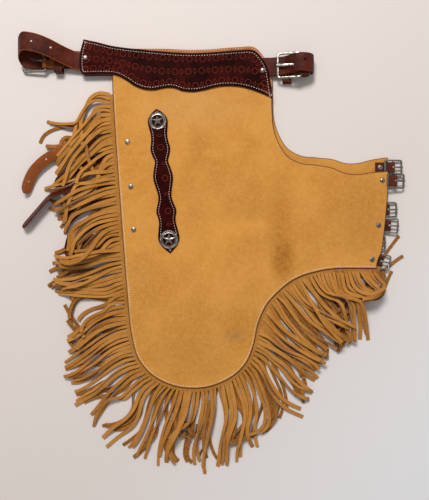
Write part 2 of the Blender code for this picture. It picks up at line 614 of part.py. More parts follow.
clear_scene()
parts = bpy.data.collections.new("leather_chaps")
cutters = bpy.data.collections.new("cutters")
bpy.context.scene.collection.children.link(parts)
bpy.context.scene.collection.children.link(cutters)
root = bpy.data.objects.new("chaps_origin", None)
root.location = (ORIGIN_SHIFT[0] * MM, ORIGIN_SHIFT[1] * MM, 0.0)
parts.objects.link(root)

make_panels()
make_fringe("fringe_near", FRINGE_REACH, (0.0, 0.0), NEAR_HEADING_Z, NEAR_HEADING_Z,
            NEAR_HEADING_Z + HEADING + 2.0, lambda x, y: 0.0)
make_fringe("fringe_far", FRINGE_REACH[2:], FAR_SHIFT, FAR_HEADING_Z, 0.0,
            FAR_HEADING_Z + HEADING, far_panel_bottom)
make_yokes()
make_side_strip()
make_conchos()
make_rivets()
make_leg_billets()
for row in LEG_BUCKLES:
    make_leg_buckle(*row)
make_right_belt()
make_left_belt()
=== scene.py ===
"""Looks of the fringed leather chaps (chinks), laid flat with one leg folded over the other.

Sizes are in millimetres from the middle of the footprint, and a piece is turned to metres when it is
finished. "near" pieces belong to the leg on top, "far" pieces to the leg underneath, face down.
"""
import random
from math import atan2, ceil, cos, exp, hypot, pi, radians, sin

import bmesh
import bpy
import numpy as np
from mathutils import Matrix, Vector, noise
from mathutils.kdtree import KDTree


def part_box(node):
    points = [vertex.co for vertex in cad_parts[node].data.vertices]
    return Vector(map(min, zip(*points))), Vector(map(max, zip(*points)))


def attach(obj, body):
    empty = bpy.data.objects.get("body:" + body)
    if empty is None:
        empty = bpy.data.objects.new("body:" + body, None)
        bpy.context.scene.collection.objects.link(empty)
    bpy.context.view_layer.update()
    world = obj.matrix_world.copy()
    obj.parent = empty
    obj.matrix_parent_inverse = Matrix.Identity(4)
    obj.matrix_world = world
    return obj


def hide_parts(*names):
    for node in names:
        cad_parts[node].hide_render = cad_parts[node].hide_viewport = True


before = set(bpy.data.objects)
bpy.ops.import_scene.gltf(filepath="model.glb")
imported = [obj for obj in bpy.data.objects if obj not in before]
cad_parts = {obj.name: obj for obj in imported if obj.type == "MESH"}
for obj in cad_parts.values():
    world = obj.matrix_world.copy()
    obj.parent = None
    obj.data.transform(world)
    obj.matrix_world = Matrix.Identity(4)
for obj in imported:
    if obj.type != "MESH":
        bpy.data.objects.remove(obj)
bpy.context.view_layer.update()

# ---- camera, floor and light -------------------------------------------------------------------------
# The chaps lie on a pale floor and are looked at from straight above.
# One big soft light stands beyond the belt, and the room fills the shadows.
camera_data = bpy.data.cameras.new("camera")
camera_data.sensor_width, camera_data.lens = 36.0, 45.3
camera = bpy.data.objects.new("camera", camera_data)
camera.location = (0.0035, 0.0116, 1.108)
bpy.context.scene.collection.objects.link(camera)
bpy.context.scene.camera = camera
bpy.context.scene.view_settings.view_transform = "Standard"


def new_material(name, roughness, metallic=0.0):
    """A material with its node tree and its shader."""
    material = bpy.data.materials.new(name)
    material.use_nodes = True
    shader = material.node_tree.nodes["Principled BSDF"]
    shader.inputs["Roughness"].default_value = roughness
    shader.inputs["Metallic"].default_value = metallic
    return material, material.node_tree, shader


def put(tree, kind, settings=None, **inputs):
    """Adds a node. Inputs are values or other nodes' outputs, by socket name (_ for a space) or i0, i1."""
    made = tree.nodes.new(kind)
    for key, value in (settings or {}).items():
        setattr(made, key, value)
    for key, value in inputs.items():
        socket = made.inputs[int(key[1:]) if key[1:].isdigit() else key.replace("_", " ")]
        if isinstance(value, bpy.types.NodeSocket):
            tree.links.new(value, socket)
        else:
            socket.default_value = value
    return made


def mixed(tree, factor, a, b, how="MIX"):
    """The colour between a and b, or b laid on a in the given way."""
    node = put(tree, "ShaderNodeMix", {"data_type": "RGBA", "blend_type": how}, i0=factor, i6=a, i7=b)
    return node.outputs[2]


def spread(tree, value, low, high, to_low=0.0, to_high=1.0):
    """A value's range low..high stretched to to_low..to_high."""
    node = put(tree, "ShaderNodeMapRange", {"interpolation_type": "SMOOTHSTEP"}, i0=value, i1=low, i2=high,
               i3=to_low, i4=to_high)
    return node.outputs[0]


def object_place(tree):
    """Where the surface is, on the object's own coordinates."""
    return put(tree, "ShaderNodeTexCoord").outputs["Object"]


def raise_by(tree, shader, height, strength, distance):
    """Raises the shader's surface where a height says so."""
    raised = put(tree, "ShaderNodeBump", Strength=strength, Distance=distance, Height=height)
    tree.links.new(raised.outputs["Normal"], shader.inputs["Normal"])


floor_finish, tree, shader = new_material("pale_floor", 0.6)
where = object_place(tree)
drift = put(tree, "ShaderNodeTexNoise", Vector=where, Scale=1.4, Detail=2.0).outputs["Fac"]
side = put(tree, "ShaderNodeSeparateXYZ", Vector=where)
across_floor = put(tree, "ShaderNodeMath", {"operation": "SUBTRACT"}, i0=side.outputs["X"],
                   i1=side.outputs["Y"])
cool = spread(tree, across_floor.outputs[0], 0.1, 0.85)
ground = mixed(tree, cool, (0.79, 0.685, 0.625, 1.0), (0.88, 0.87, 0.865, 1.0))
speck = put(tree, "ShaderNodeTexNoise", Vector=where, Scale=420.0, Detail=3.0).outputs["Fac"]
ground = mixed(tree, spread(tree, drift, 0.3, 0.7, 0.0, 0.3), ground, (0.80, 0.74, 0.70, 1.0))
tree.links.new(ground, shader.inputs["Base Color"])
raise_by(tree, shader, speck, 0.04, 0.0004)
bm = bmesh.new()
bmesh.ops.create_grid(bm, x_segments=2, y_segments=2, size=3.0)
bmesh.ops.translate(bm, vec=(0.0, 0.0, -0.0003), verts=bm.verts)
floor_mesh = bpy.data.meshes.new("floor")
bm.to_mesh(floor_mesh)
bm.free()
floor = bpy.data.objects.new("floor", floor_mesh)
floor_mesh.materials.append(floor_finish)
bpy.context.scene.collection.objects.link(floor)

lamp_data = bpy.data.lights.new("window", "AREA")
lamp_data.shape = "RECTANGLE"
lamp_data.size, lamp_data.size_y = 1.3, 0.9
lamp_data.energy = 106.0
lamp = bpy.data.objects.new("window", lamp_data)
lamp.location = (-0.6, 2.2, 3.0)
lamp.rotation_mode = "QUATERNION"
lamp.rotation_quaternion = (-lamp.location).to_track_quat("-Z", "Y")
bpy.context.scene.collection.objects.link(lamp)
room = bpy.data.worlds.new("room")
room.use_nodes = True
background = room.node_tree.nodes["Background"]
background.inputs["Color"].default_value = (0.93, 0.96, 1.0, 1.0)
background.inputs["Strength"].default_value = 0.36
bpy.context.scene.world = room

# ---- leg panels --------------------------------------------------------------------------------------
# Each leg is one panel of 2 mm suede with its edges left raw. The near one lies over the straps and
# fringes at its edges and sinks onto the far one in the middle, with long soft folds.
SUEDE, GAP = 2.0, 0.3
NEAR_PANEL_Z, FAR_TOP_Z = 8.8, 2.0
SINK_START, SINK_END = 100.0, 165.0  # distance from the edge over which the near panel sinks
RIM_STEP = 4.0
NEAR_CELL, FAR_CELL = 6.0, 9.0
DARK_RIM_NEAR, DARK_RIM_FAR, WORN_DROP = 1.5, 1.2, 0.4  # how far in an edge is rounded and painted dark with the cut edge's finish (a dyed edge with painted shadow along it), and its drop for each mm
FAR_CORNER_LIFT, FAR_CORNER_FROM, FAR_CORNER_RUN = 11.0, 190.0, 110.0
TONGUE_ROOM, TONGUE_ROOM_Y, TONGUE_ROOM_HALF = 2.8, -8.3, 14.0
YOKE_BACK, YOKE_BACK_FROM, YOKE_BACK_RUN = 2.9, 255.2, 23.0  # the far leg's climb onto its yoke
NEAR_FOLDS = [
    # from x, y to x, y, width, height
    (128, 150, 112, -50, 15, -1.5), (62, 235, 36, 120, 22, 1.3), (-28, 262, -52, 60, 25, 1.7),
    (-122, 190, -98, 10, 17, -1.0), (12, 60, -66, -120, 30, 1.6), (66, -40, 36, -168, 15, -1.3),
    (-106, -30, -66, -160, 19, 1.1), (176, 132, 252, 36, 20, 1.5), (236, 112, 206, -4, 12, -0.9),
    (-34, -212, 34, -150, 12, 0.8), (88, 214, 146, 150, 13, -1.1), (-136, -60, -120, -150, 9, 0.7),
    (84, 60, 170, 10, 20, 1.0),
]
FAR_FOLDS = [
    (110, 170, 140, -20, 16, 1.0), (40, 220, 20, 60, 20, 1.2), (-60, 240, -90, 40, 24, 1.1),
    (-20, 20, -80, -140, 22, 1.0), (60, -20, 20, -170, 18, 0.9), (190, 140, 240, 20, 18, 1.0),
]


def rim_of(node):
    """The outer edge of a CAD sheet's upper face, in order, without the points on straight stretches."""
    cad = bmesh.new()
    cad.from_mesh(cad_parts[node].data)
    bmesh.ops.remove_doubles(cad, verts=cad.verts, dist=1e-6)
    cad.normal_update()
    upper = {f for f in cad.faces if f.normal.z > 0.6}
    follows = {}
    for e in cad.edges:
        if sum(f in upper for f in e.link_faces) == 1:
            a, b = e.verts
            follows.setdefault(a, []).append(b)
            follows.setdefault(b, []).append(a)
    loops = []
    while follows:
        here = next(iter(follows))
        loop = []
        while here is not None:
            loop.append(here.co.xy * 1000.0)
            linked = follows.pop(here)
            here = next((v for v in linked if v in follows), None)
        loops.append(loop)
    cad.free()
    rim = max(loops, key=lambda run: max(p.x for p in run) - min(p.x for p in run))
    kept = []
    for before, p, after in zip(rim[-1:] + rim[:-1], rim, rim[1:] + rim[:1]):
        if (p - before).length > 1e-3 and abs((p - before).angle(after - p, 0.0)) > radians(1.5):
            kept.append(p)
    return kept


def curve_through(points, spacing):
    """A smooth open run through points of any dimension (Catmull-Rom), about spacing apart."""
    points = [Vector(p) for p in points]
    run = []
    for i in range(len(points) - 1):
        a, b = points[i], points[i + 1]
        before, after = points[max(i - 1, 0)], points[min(i + 2, len(points) - 1)]
        steps = max(1, round((b - a).length / spacing))
        for t in (k / steps for k in range(steps)):
            run.append(0.5 * (2 * a + (b - before) * t + (2 * before - 5 * a + 4 * b - after) * t * t
                              + (3 * a - before - 3 * b + after) * t ** 3))
    run.append(points[-1])
    return run


def rounded_through(points, spacing):
    """A smooth open run through points at uneven steps (centripetal Catmull-Rom), which never overshoots."""
    run = []
    for i in range(len(points) - 1):
        a, b = points[i], points[i + 1]
        chord, pace = b - a, (b - a).length ** 0.5
        leaving = arriving = chord
        if i > 0:
            before, pace_before = points[i - 1], (a - points[i - 1]).length ** 0.5
            leaving = chord + ((a - before) / pace_before - (b - before) / (pace_before + pace)) * pace
        if i + 2 < len(points):
            after, pace_after = points[i + 2], (points[i + 2] - b).length ** 0.5
            arriving = chord + ((after - b) / pace_after - (after - a) / (pace + pace_after)) * pace
        steps = max(1, round(chord.length / spacing))
        for t in (k / steps for k in range(steps)):
            turned = t * t * (3.0 - 2.0 * t)
            run.append(a + chord * turned + leaving * t * (1.0 - t) ** 2 - arriving * t * t * (1.0 - t))
    return run + [points[-1]]


def smooth_rim(rim, spacing, corner=35.0):
    """A closed rim with its gentle bends rounded and its corners kept."""
    turns = [abs((p - before).angle(after - p, 0.0))
             for before, p, after in zip(rim[-1:] + rim[:-1], rim, rim[1:] + rim[:1])]
    corners = [i for i, turn in enumerate(turns) if turn > radians(corner)]
    closed = rim[corners[0]:] + rim[:corners[0] + 1]
    splits = [i - corners[0] for i in corners] + [len(rim)]
    run = []
    for start, end in zip(splits, splits[1:]):
        run += rounded_through(closed[start:end + 1], spacing)[:-1]
    return run


def closed_inside(rim, distance):
    """A closed rim moved inwards."""
    area = sum(a.x * b.y - b.x * a.y for a, b in zip(rim, rim[1:] + rim[:1]))
    inward = distance if area > 0 else -distance
    moved = []
    for i, p in enumerate(rim):
        along = (rim[(i + 1) % len(rim)] - rim[i - 1]).normalized()
        moved.append(p + Vector((-along.y, along.x)) * inward)
    return moved + moved[:1]


def cut_sheet(rim, cell, bottom, thick, worn=0.0):
    """A sheet cut to a rim, on a grid of cells, with its underside at bottom(x, y). Its edges are slot 1.

    worn is how far in its edges are rounded and darkened: that band of the top gets the cut edge's dark
    finish, a dyed edge with painted shadow along it.
    """
    sheet = bmesh.new()
    ring = [sheet.verts.new((p.x, p.y, 0.0)) for p in rim]
    if worn:
        inner = [sheet.verts.new((p.x, p.y, 0.0)) for p in closed_inside(rim, worn)[:-1]]
        # The band of the top along the edge takes the dark cut edge finish: dyed edge and painted shadow.
        for k in range(len(ring)):
            sheet.faces.new((ring[k - 1], ring[k], inner[k], inner[k - 1])).material_index = 1
        ring = inner
    middle = sheet.faces.new(ring)
    middle.material_index = 0
    sheet.normal_update()
    bmesh.ops.triangulate(sheet, faces=[middle], quad_method="BEAUTY", ngon_method="EAR_CLIP")
    bmesh.ops.recalc_face_normals(sheet, faces=sheet.faces)
    for axis in (0, 1):
        low, high = min(p[axis] for p in rim), max(p[axis] for p in rim)
        for k in range(1, ceil((high - low) / cell)):
            place, normal = [0.0, 0.0, 0.0], [0.0, 0.0, 0.0]
            place[axis], normal[axis] = low + k * cell, 1.0
            geometry = sheet.verts[:] + sheet.edges[:] + sheet.faces[:]
            bmesh.ops.bisect_plane(sheet, geom=geometry, plane_co=place, plane_no=normal, dist=1e-4)
    made = bmesh.ops.extrude_face_region(sheet, geom=sheet.faces[:])["geom"]
    upper = {v for v in made if isinstance(v, bmesh.types.BMVert)}
    bmesh.ops.recalc_face_normals(sheet, faces=sheet.faces)
    for v in sheet.verts:
        outer = worn and any(len({w in upper for w in f.verts}) == 2 for f in v.link_faces)
        v.co.z += (thick if v in upper else 0.0) - (WORN_DROP * worn if outer and v in upper else 0.0)
    sheet.normal_update()
    for f in sheet.faces:
        f.smooth = True
        if abs(f.normal.z) < 0.5:
            f.material_index = 1
    for e in sheet.edges:
        e.smooth = len({f.material_index for f in e.link_faces}) == 1
    for v in sheet.verts:
        v.co.z += bottom(v.co.x, v.co.y)
    bmesh.ops.recalc_face_normals(sheet, faces=sheet.faces)
    return sheet


def finished(name, bm, finishes, stands_for=(), body="root"):
    """Turns a bmesh in millimetres into a piece in metres that rides on a CAD body and replaces nodes."""
    bmesh.ops.scale(bm, vec=(0.001, 0.001, 0.001), verts=bm.verts)
    mesh = bpy.data.meshes.new(name)
    bm.to_mesh(mesh)
    bm.free()
    piece = bpy.data.objects.new(name, mesh)
    for finish in finishes:
        mesh.materials.append(finish)
    bpy.context.scene.collection.objects.link(piece)
    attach(piece, body)
    if stands_for:
        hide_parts(*stands_for)
    return piece


def distance_to(rim, x, y):
    """How far a point is from a closed rim."""
    best = 1e9
    for a, b in zip(rim, rim[1:] + rim[:1]):
        dx, dy = b.x - a.x, b.y - a.y
        t = max(0.0, min(1.0, ((x - a.x) * dx + (y - a.y) * dy) / (dx * dx + dy * dy)))
        best = min(best, hypot(x - a.x - t * dx, y - a.y - t * dy))
    return best


def folds_at(folds, x, y):
    """How much the soft folds lift the leather at a point. Each runs out at its ends."""
    lift = 0.0
    for ax, ay, bx, by, width, height in folds:
        dx, dy = bx - ax, by - ay
        t = ((x - ax) * dx + (y - ay) * dy) / (dx * dx + dy * dy)
        t = max(0.0, min(1.0, t))
        away = hypot(x - ax - t * dx, y - ay - t * dy) / width
        if away < 3.0:
            lift += height * exp(-away * away) * (4 * t * (1 - t)) ** 0.7
    return lift


near_rim, far_rim = rim_of("leg_panel_near"), rim_of("leg_panel_far")


def near_bottom(x, y):
    """The near panel's underside: over the straps at its edges, on the far panel in its middle."""
    from_edge = distance_to(near_rim, x, y)
    sunk = max(0.0, min(1.0, (from_edge - SINK_START) / (SINK_END - SINK_START)))
    sunk = sunk * sunk * (3 - 2 * sunk)
    level = NEAR_PANEL_Z - sunk * (NEAR_PANEL_Z - FAR_TOP_Z - GAP)
    ripple = 0.5 * noise.noise((x * 0.012, y * 0.012, 4.0)) + 0.18 * noise.noise((x * 0.05, y * 0.05, 1.0))
    inner = min(1.0, from_edge / 25.0)
    return max(level + inner * (folds_at(NEAR_FOLDS, x, y) + ripple), FAR_TOP_Z + GAP)


def far_rise(y):
    """The far leg climbs onto the back of its yoke."""
    return YOKE_BACK * max(0.0, min(1.0, (y - YOKE_BACK_FROM) / YOKE_BACK_RUN))


def far_bottom(x, y):
    """The far panel's underside: on the floor, with its folds where the near panel doesn't press."""
    inner = min(1.0, distance_to(far_rim, x, y) / 60.0)
    under_sag = max(0.0, 1.0 - max(0.0, distance_to(near_rim, x, y) - 70.0) / 25.0)
    return far_rise(y) + inner * under_sag * max(0.0, folds_at(FAR_FOLDS, x, y))


def times(tree, a, b):
    """Two values multiplied."""
    return put(tree, "ShaderNodeMath", {"operation": "MULTIPLY"}, i0=a, i1=b).outputs[0]


def group_of(name, outputs):
    """A node group with Vector and Scale inputs and outputs of the given names, each a value."""
    group = bpy.data.node_groups.new(name, "ShaderNodeTree")
    group.interface.new_socket(name="Vector", in_out="INPUT", socket_type="NodeSocketVector")
    group.interface.new_socket(name="Scale", in_out="INPUT", socket_type="NodeSocketFloat")
    for output in outputs:
        group.interface.new_socket(name=output, in_out="OUTPUT", socket_type="NodeSocketFloat")
    return group, group.nodes.new("NodeGroupInput"), group.nodes.new("NodeGroupOutput")


suede_nap, asked, given = group_of("suede_nap", ("Height", "Brushed", "Cloud"))
small = put(suede_nap, "ShaderNodeTexNoise", Vector=asked.outputs["Vector"], Scale=1250.0, Detail=4.0,
            Roughness=0.7)
brushed = put(suede_nap, "ShaderNodeTexNoise", Vector=asked.outputs["Vector"],
              Scale=times(suede_nap, asked.outputs["Scale"], 170.0), Detail=5.0, Roughness=0.65,
              Distortion=0.6)
cloud = put(suede_nap, "ShaderNodeTexNoise", Vector=asked.outputs["Vector"],
            Scale=times(suede_nap, asked.outputs["Scale"], 14.0), Detail=4.0, Roughness=0.6, Distortion=0.4)
height = put(suede_nap, "ShaderNodeMath", {"operation": "MULTIPLY_ADD"}, i0=brushed.outputs["Fac"], i1=0.6,
             i2=small.outputs["Fac"])
suede_nap.links.new(height.outputs[0], given.inputs["Height"])
suede_nap.links.new(brushed.outputs["Fac"], given.inputs["Brushed"])
suede_nap.links.new(cloud.outputs["Fac"], given.inputs["Cloud"])


def grouped(tree, group, scale):
    """The outputs of a node group placed on the object's own coordinates."""
    return put(tree, "ShaderNodeGroup", {"node_tree": group}, Vector=object_place(tree), Scale=scale).outputs


def patch(tree, x, y, reach_x, reach_y):
    """A mask that is 1 at a place on the leg, in millimetres, and fades to 0 at its reach."""
    moved = put(tree, "ShaderNodeMapping", {"vector_type": "TEXTURE"},
                Vector=object_place(tree),
                Location=(x / 1000, y / 1000, 0.008), Scale=(reach_x / 1000, reach_y / 1000, 1.0))
    away = put(tree, "ShaderNodeVectorMath", {"operation": "LENGTH"}, i0=moved.outputs[0])
    return spread(tree, away.outputs["Value"], 0.1, 1.0, 1.0, 0.0)


def brushed_suede(name, sheen, nap_scale, dark, light):
    """Suede's material, its tree, shader and nap, and a colour clouded between two tones."""
    material, tree, shader = new_material(name, 0.92)
    shader.inputs["Sheen Weight"].default_value = sheen
    shader.inputs["Sheen Roughness"].default_value = 0.6
    shader.inputs["Sheen Tint"].default_value = (1.0, 0.75, 0.45, 1.0)
    shader.inputs["Specular IOR Level"].default_value = 0.06
    out = grouped(tree, suede_nap, nap_scale)
    return material, tree, shader, out, mixed(tree, spread(tree, out["Cloud"], 0.33, 0.67), dark, light)


def cut_side(name, dark, light, gloss):
    """The raw cut side of suede, clouded between two tones."""
    material, tree, shader = new_material(name, 0.95)
    shader.inputs["Specular IOR Level"].default_value = gloss
    out = grouped(tree, suede_nap, 3.0)
    tone = mixed(tree, spread(tree, out["Brushed"], 0.3, 0.7), dark, light)
    tree.links.new(tone, shader.inputs["Base Color"])
    raise_by(tree, shader, out["Height"], 0.5, 0.0005)
    return material


suede, tree, shader, nap_out, tan = brushed_suede("tan_suede", 0.06, 1.0, (0.60, 0.245, 0.040, 1.0),
                                                  (0.70, 0.305, 0.060, 1.0))
SUEDE_PATCHES_AND_FOLD_SHADE = [
    # x, y, reach across, reach along, colour: painted shade along the fold trough near x = 120, a dark
    # smudge, darker low down and on the right, paler at the top
    (122, 34, 34, 130, (0.44, 0.15, 0.014, 1.0)), (124, -8, 30, 44, (0.36, 0.115, 0.010, 1.0)),
    (62, -126, 70, 60, (0.50, 0.20, 0.032, 1.0)),
    (-130, -60, 40, 70, (0.58, 0.25, 0.055, 1.0)), (-30, 262, 150, 60, (0.69, 0.33, 0.10, 1.0)),
    (40, -137, 26, 20, (0.30, 0.15, 0.055, 1.0)), (262, 80, 80, 110, (0.50, 0.19, 0.034, 1.0)),
    (-20, 20, 110, 90, (0.71, 0.31, 0.058, 1.0)), (-40, -170, 120, 70, (0.53, 0.225, 0.045, 1.0)),
]
# The two dark patches along the fold near x = 120 are painted shade; the small one at (40, -137) is a real
# smudge.
for x, y, reach_x, reach_y, colour in SUEDE_PATCHES_AND_FOLD_SHADE:
    clouded = spread(tree, nap_out["Cloud"], 0.2, 0.75, 0.25, 0.8)
    tan = mixed(tree, times(tree, patch(tree, x, y, reach_x, reach_y), clouded), tan, colour)
tan = mixed(tree, spread(tree, nap_out["Brushed"], 0.35, 0.7, 0.0, 0.32), tan, (0.80, 0.42, 0.12, 1.0))
dust = put(tree, "ShaderNodeTexVoronoi", Vector=object_place(tree), Scale=46.0, Randomness=1.0)
tan = mixed(tree, spread(tree, dust.outputs["Distance"], 0.035, 0.06, 0.55, 0.0), tan,
            (0.12, 0.05, 0.02, 1.0))
tree.links.new(tan, shader.inputs["Base Color"])
raise_by(tree, shader, nap_out["Height"], 0.55, 0.0007)
# The cut edge's finish is dark dye with painted shadow; cut_sheet also lays it on a band of the top along the
# edge.
suede_edge_and_shade = cut_side("suede_cut_edge_and_shade", (0.07, 0.026, 0.012, 1.0), (0.16, 0.065, 0.032, 1.0), 0.5)

near_outline, far_outline = smooth_rim(near_rim, RIM_STEP), smooth_rim(far_rim, RIM_STEP)
for corner in far_outline:
    if corner.y > 100.0:  # the far leg's free corner, pulled up a little past the near one
        corner.y += FAR_CORNER_LIFT * max(0.0, min(1.0, (corner.x - FAR_CORNER_FROM) / FAR_CORNER_RUN))
for edge in near_outline:
    if edge.x > 285.0:  # the near leg is cut away a little behind its third buckle, for the tongue
        edge.x -= max(0.0, TONGUE_ROOM * (1.0 - ((edge.y - TONGUE_ROOM_Y) / TONGUE_ROOM_HALF) ** 2))
near_panel = finished("near_leg", cut_sheet(near_outline, NEAR_CELL, near_bottom, SUEDE, DARK_RIM_NEAR),
                      [suede, suede_edge_and_shade], ["leg_panel_near"])
far_panel = finished("far_leg", cut_sheet(far_outline, FAR_CELL, far_bottom, SUEDE, DARK_RIM_FAR),
                     [suede, suede_edge_and_shade], ["leg_panel_far"])

# ---- seams of the legs -------------------------------------------------------------------------------
# A lockstitch of light thread, 3.6 mm in from the raw edge, holds the fringe's heading under the leg.
# Every stitch is its own short bar of thread that sinks into the suede at both ends.
SEAM_IN, SEAM_PITCH, STITCH_SLANT = 3.6, 4.3, 0.12


def run_between(rim, start, end, past):
    """The stretch of a closed rim from start to end that goes past a third place."""
    def nearest(place):
        return min(range(len(rim)), key=lambda i: (rim[i] - place).length)
    first, last = nearest(start), nearest(end)
    turned = rim[first:] + rim[:first]
    count = (last - first) % len(rim)
    forward, back = turned[:count + 1], [turned[0]] + turned[:count - 1:-1]
    return min((forward, back), key=lambda run: min((p - past).length for p in run))


def lengths_along(run):
    """How far along a run each of its points is."""
    return np.cumsum([0.0] + [(b - a).length for a, b in zip(run, run[1:])])


def evenly(run, pitch):
    """Points a pitch apart along a run."""
    lengths = lengths_along(run)
    wanted = np.arange(0.0, lengths[-1], pitch)
    columns = [np.interp(wanted, lengths, [p[c] for p in run]) for c in range(len(run[0]))]
    return [Vector(p) for p in zip(*columns)]


def beside(run, distance):
    """A run moved to its left by a distance, for a run of (x, y)."""
    moved = []
    for i, p in enumerate(run):
        along = (run[min(i + 1, len(run) - 1)] - run[max(i - 1, 0)]).normalized()
        moved.append(p + Vector((-along.y, along.x)) * distance)
    return moved


def seam(name, run, pitch, heights, length=2.1, thick=1.5):
    """A piece of stitches along a run of (x, y), on each surface that a height(x, y) gives."""
    places = evenly(run, pitch)
    size = Matrix.Diagonal((length / 2, thick / 2, thick * 0.36, 1.0))
    bm = bmesh.new()
    for height in heights:
        for a, b in zip(places, places[1:]):
            middle = (a + b) / 2
            turn = Matrix.Rotation(atan2(b.y - a.y, b.x - a.x) + STITCH_SLANT, 4, "Z")
            at = Matrix.Translation((middle.x, middle.y, height(middle.x, middle.y)))
            bmesh.ops.create_icosphere(bm, subdivisions=2, radius=1.0, matrix=at @ turn @ size)
    return finished(name, bm, [thread])


thread, tree, shader = new_material("pale_thread", 0.7)
where = object_place(tree)
twist = put(tree, "ShaderNodeTexWave", {"bands_direction": "DIAGONAL"}, Vector=where, Scale=900.0,
            Distortion=1.5)
soiled = put(tree, "ShaderNodeTexNoise", Vector=where, Scale=60.0, Detail=3.0).outputs["Fac"]
tree.links.new(mixed(tree, spread(tree, soiled, 0.35, 0.7), (0.92, 0.87, 0.78, 1.0), (0.72, 0.58, 0.42, 1.0)),
               shader.inputs["Base Color"])
raise_by(tree, shader, twist.outputs["Fac"], 0.5, 0.0003)

FRINGE_START, FRINGE_END, HEM = Vector((-174.0, 283.0)), Vector((287.5, -20.8)), Vector((-4.5, -226.8))
FAR_FRINGE_START, FAR_SHIFT = Vector((-169.5, 264.0)), Vector((2.0, 14.0))
near_edge = run_between(near_outline, FRINGE_START, FRINGE_END, HEM)
far_edge = run_between(far_outline, FAR_FRINGE_START, FRINGE_END + FAR_SHIFT, HEM + FAR_SHIFT)
near_seam = seam("near_leg_seam", beside(near_edge, SEAM_IN), SEAM_PITCH,
                 [lambda x, y: near_bottom(x, y) + SUEDE + 0.2])
far_seam = seam("far_leg_seam", beside(far_edge, SEAM_IN), SEAM_PITCH,
                [lambda x, y: far_bottom(x, y) + 0.22, lambda x, y: far_bottom(x, y) + SUEDE])

# ---- straps at the legs' fringed edges ---------------------------------------------------------------
# Three billets a leg close the chaps round the thigh. They are 19 mm bridle straps with a smooth dyed
# face, a crease line along each edge, a rough flesh side, and punched holes. The top one lies flesh up.
BILLET_WIDTH, BILLET_THICK = 19.0, 2.1
NEAR_BILLETS = {
    # name: middle of the strap (x, y, z) with its roll in degrees about the way it runs
    "near_1": [(-140, 201, 5.4, 0), (-172, 198, 5.4, 0), (-202, 196, 5.6, 0), (-232, 194, 7.2, -3),
               (-262, 185, 9.2, -6), (-290, 170, 10.2, -12), (-311, 150, 10.0, -20), (-322, 128, 9.2, -30),
               (-326, 110, 8.4, -38)],
    "near_2": [(-134, 122, 5.4, 0), (-167, 122, 5.4, 0), (-197, 121, 5.6, 4), (-232, 119, 7.4, 20),
               (-260, 116, 9.6, 42), (-284, 104, 10.6, 56), (-303, 84, 10.6, 60), (-320, 64, 10.4, 58),
               (-331, 51, 10.0, 54)],
    "near_3": [(-129, 46, 5.4, 0), (-167, 49, 5.4, 0), (-197, 54, 5.4, 0), (-222, 56, 5.6, 6),
               (-241, 44, 6.6, 18), (-250, 22, 7.0, 24), (-253, 1, 6.6, 20)],
}
FAR_BILLETS = {
    "far_1": [(-137, 174, 5.4, 0), (-166, 173, 5.2, 0), (-199, 168, 4.6, 0), (-232, 158, 4.2, 0),
              (-258, 142, 4.2, 0), (-274, 122, 4.2, 0)],
    "far_2": [(-131, 98, 5.4, 0), (-166, 98, 5.2, 0), (-196, 95, 4.6, 0), (-228, 86, 4.2, 0),
              (-248, 72, 4.2, 0), (-258, 58, 4.0, 0)],
    "far_3": [(-126, 22, 5.4, 0), (-156, 23, 5.2, 0), (-186, 27, 4.6, 0), (-211, 30, 4.2, 0),
              (-220, 22, 4.0, 0), (-225, 4, 4.0, 0)],
}
STRAP_SECTION = [
    # place across the strap and height of its face, as shares of its half width and thickness
    (-1.0, 0.45), (-0.93, 0.9), (-0.82, 1.0), (-0.76, 0.84), (-0.70, 1.0), (-0.35, 1.05), (0.0, 1.07),
    (0.35, 1.05), (0.70, 1.0), (0.76, 0.84), (0.82, 1.0), (0.93, 0.9), (1.0, 0.45),
]
PLAIN_SECTION = [(-1.0, 1.0), (1.0, 1.0)]

leather_grain, asked, given = group_of("leather_grain", ("Height", "Worn", "Cloud"))
cells = put(leather_grain, "ShaderNodeTexVoronoi", {"feature": "DISTANCE_TO_EDGE"},
            Vector=asked.outputs["Vector"], Scale=times(leather_grain, asked.outputs["Scale"], 900.0))
cell_rise = spread(leather_grain, cells.outputs["Distance"], 0.0, 0.22)
rub = put(leather_grain, "ShaderNodeTexNoise", Vector=asked.outputs["Vector"], Scale=130.0, Detail=5.0,
          Roughness=0.7, Distortion=0.8)
cloud = put(leather_grain, "ShaderNodeTexNoise", Vector=asked.outputs["Vector"], Scale=26.0, Detail=3.0)
height = put(leather_grain, "ShaderNodeMath", {"operation": "MULTIPLY_ADD"}, i0=rub.outputs["Fac"], i1=1.4,
             i2=cell_rise)
leather_grain.links.new(height.outputs[0], given.inputs["Height"])
leather_grain.links.new(spread(leather_grain, rub.outputs["Fac"], 0.52, 0.72), given.inputs["Worn"])
leather_grain.links.new(cloud.outputs["Fac"], given.inputs["Cloud"])


def leather(name, dark, light, worn, roughness, grain_scale=1.0, bump=0.35, gloss=0.28):
    """Dyed leather: two clouded tones, a third where it is rubbed, and its grain."""
    material, tree, shader = new_material(name, roughness)
    shader.inputs["Specular IOR Level"].default_value = gloss
    out = grouped(tree, leather_grain, grain_scale)
    tone = mixed(tree, spread(tree, out["Cloud"], 0.3, 0.7), (*dark, 1.0), (*light, 1.0))
    tone = mixed(tree, times(tree, out["Worn"], 0.55), tone, (*worn, 1.0))
    tree.links.new(tone, shader.inputs["Base Color"])
    tree.links.new(spread(tree, out["Cloud"], 0.2, 0.8, roughness + 0.1, roughness - 0.08),
                   shader.inputs["Roughness"])
    raise_by(tree, shader, out["Height"], bump, 0.0004)
    return material


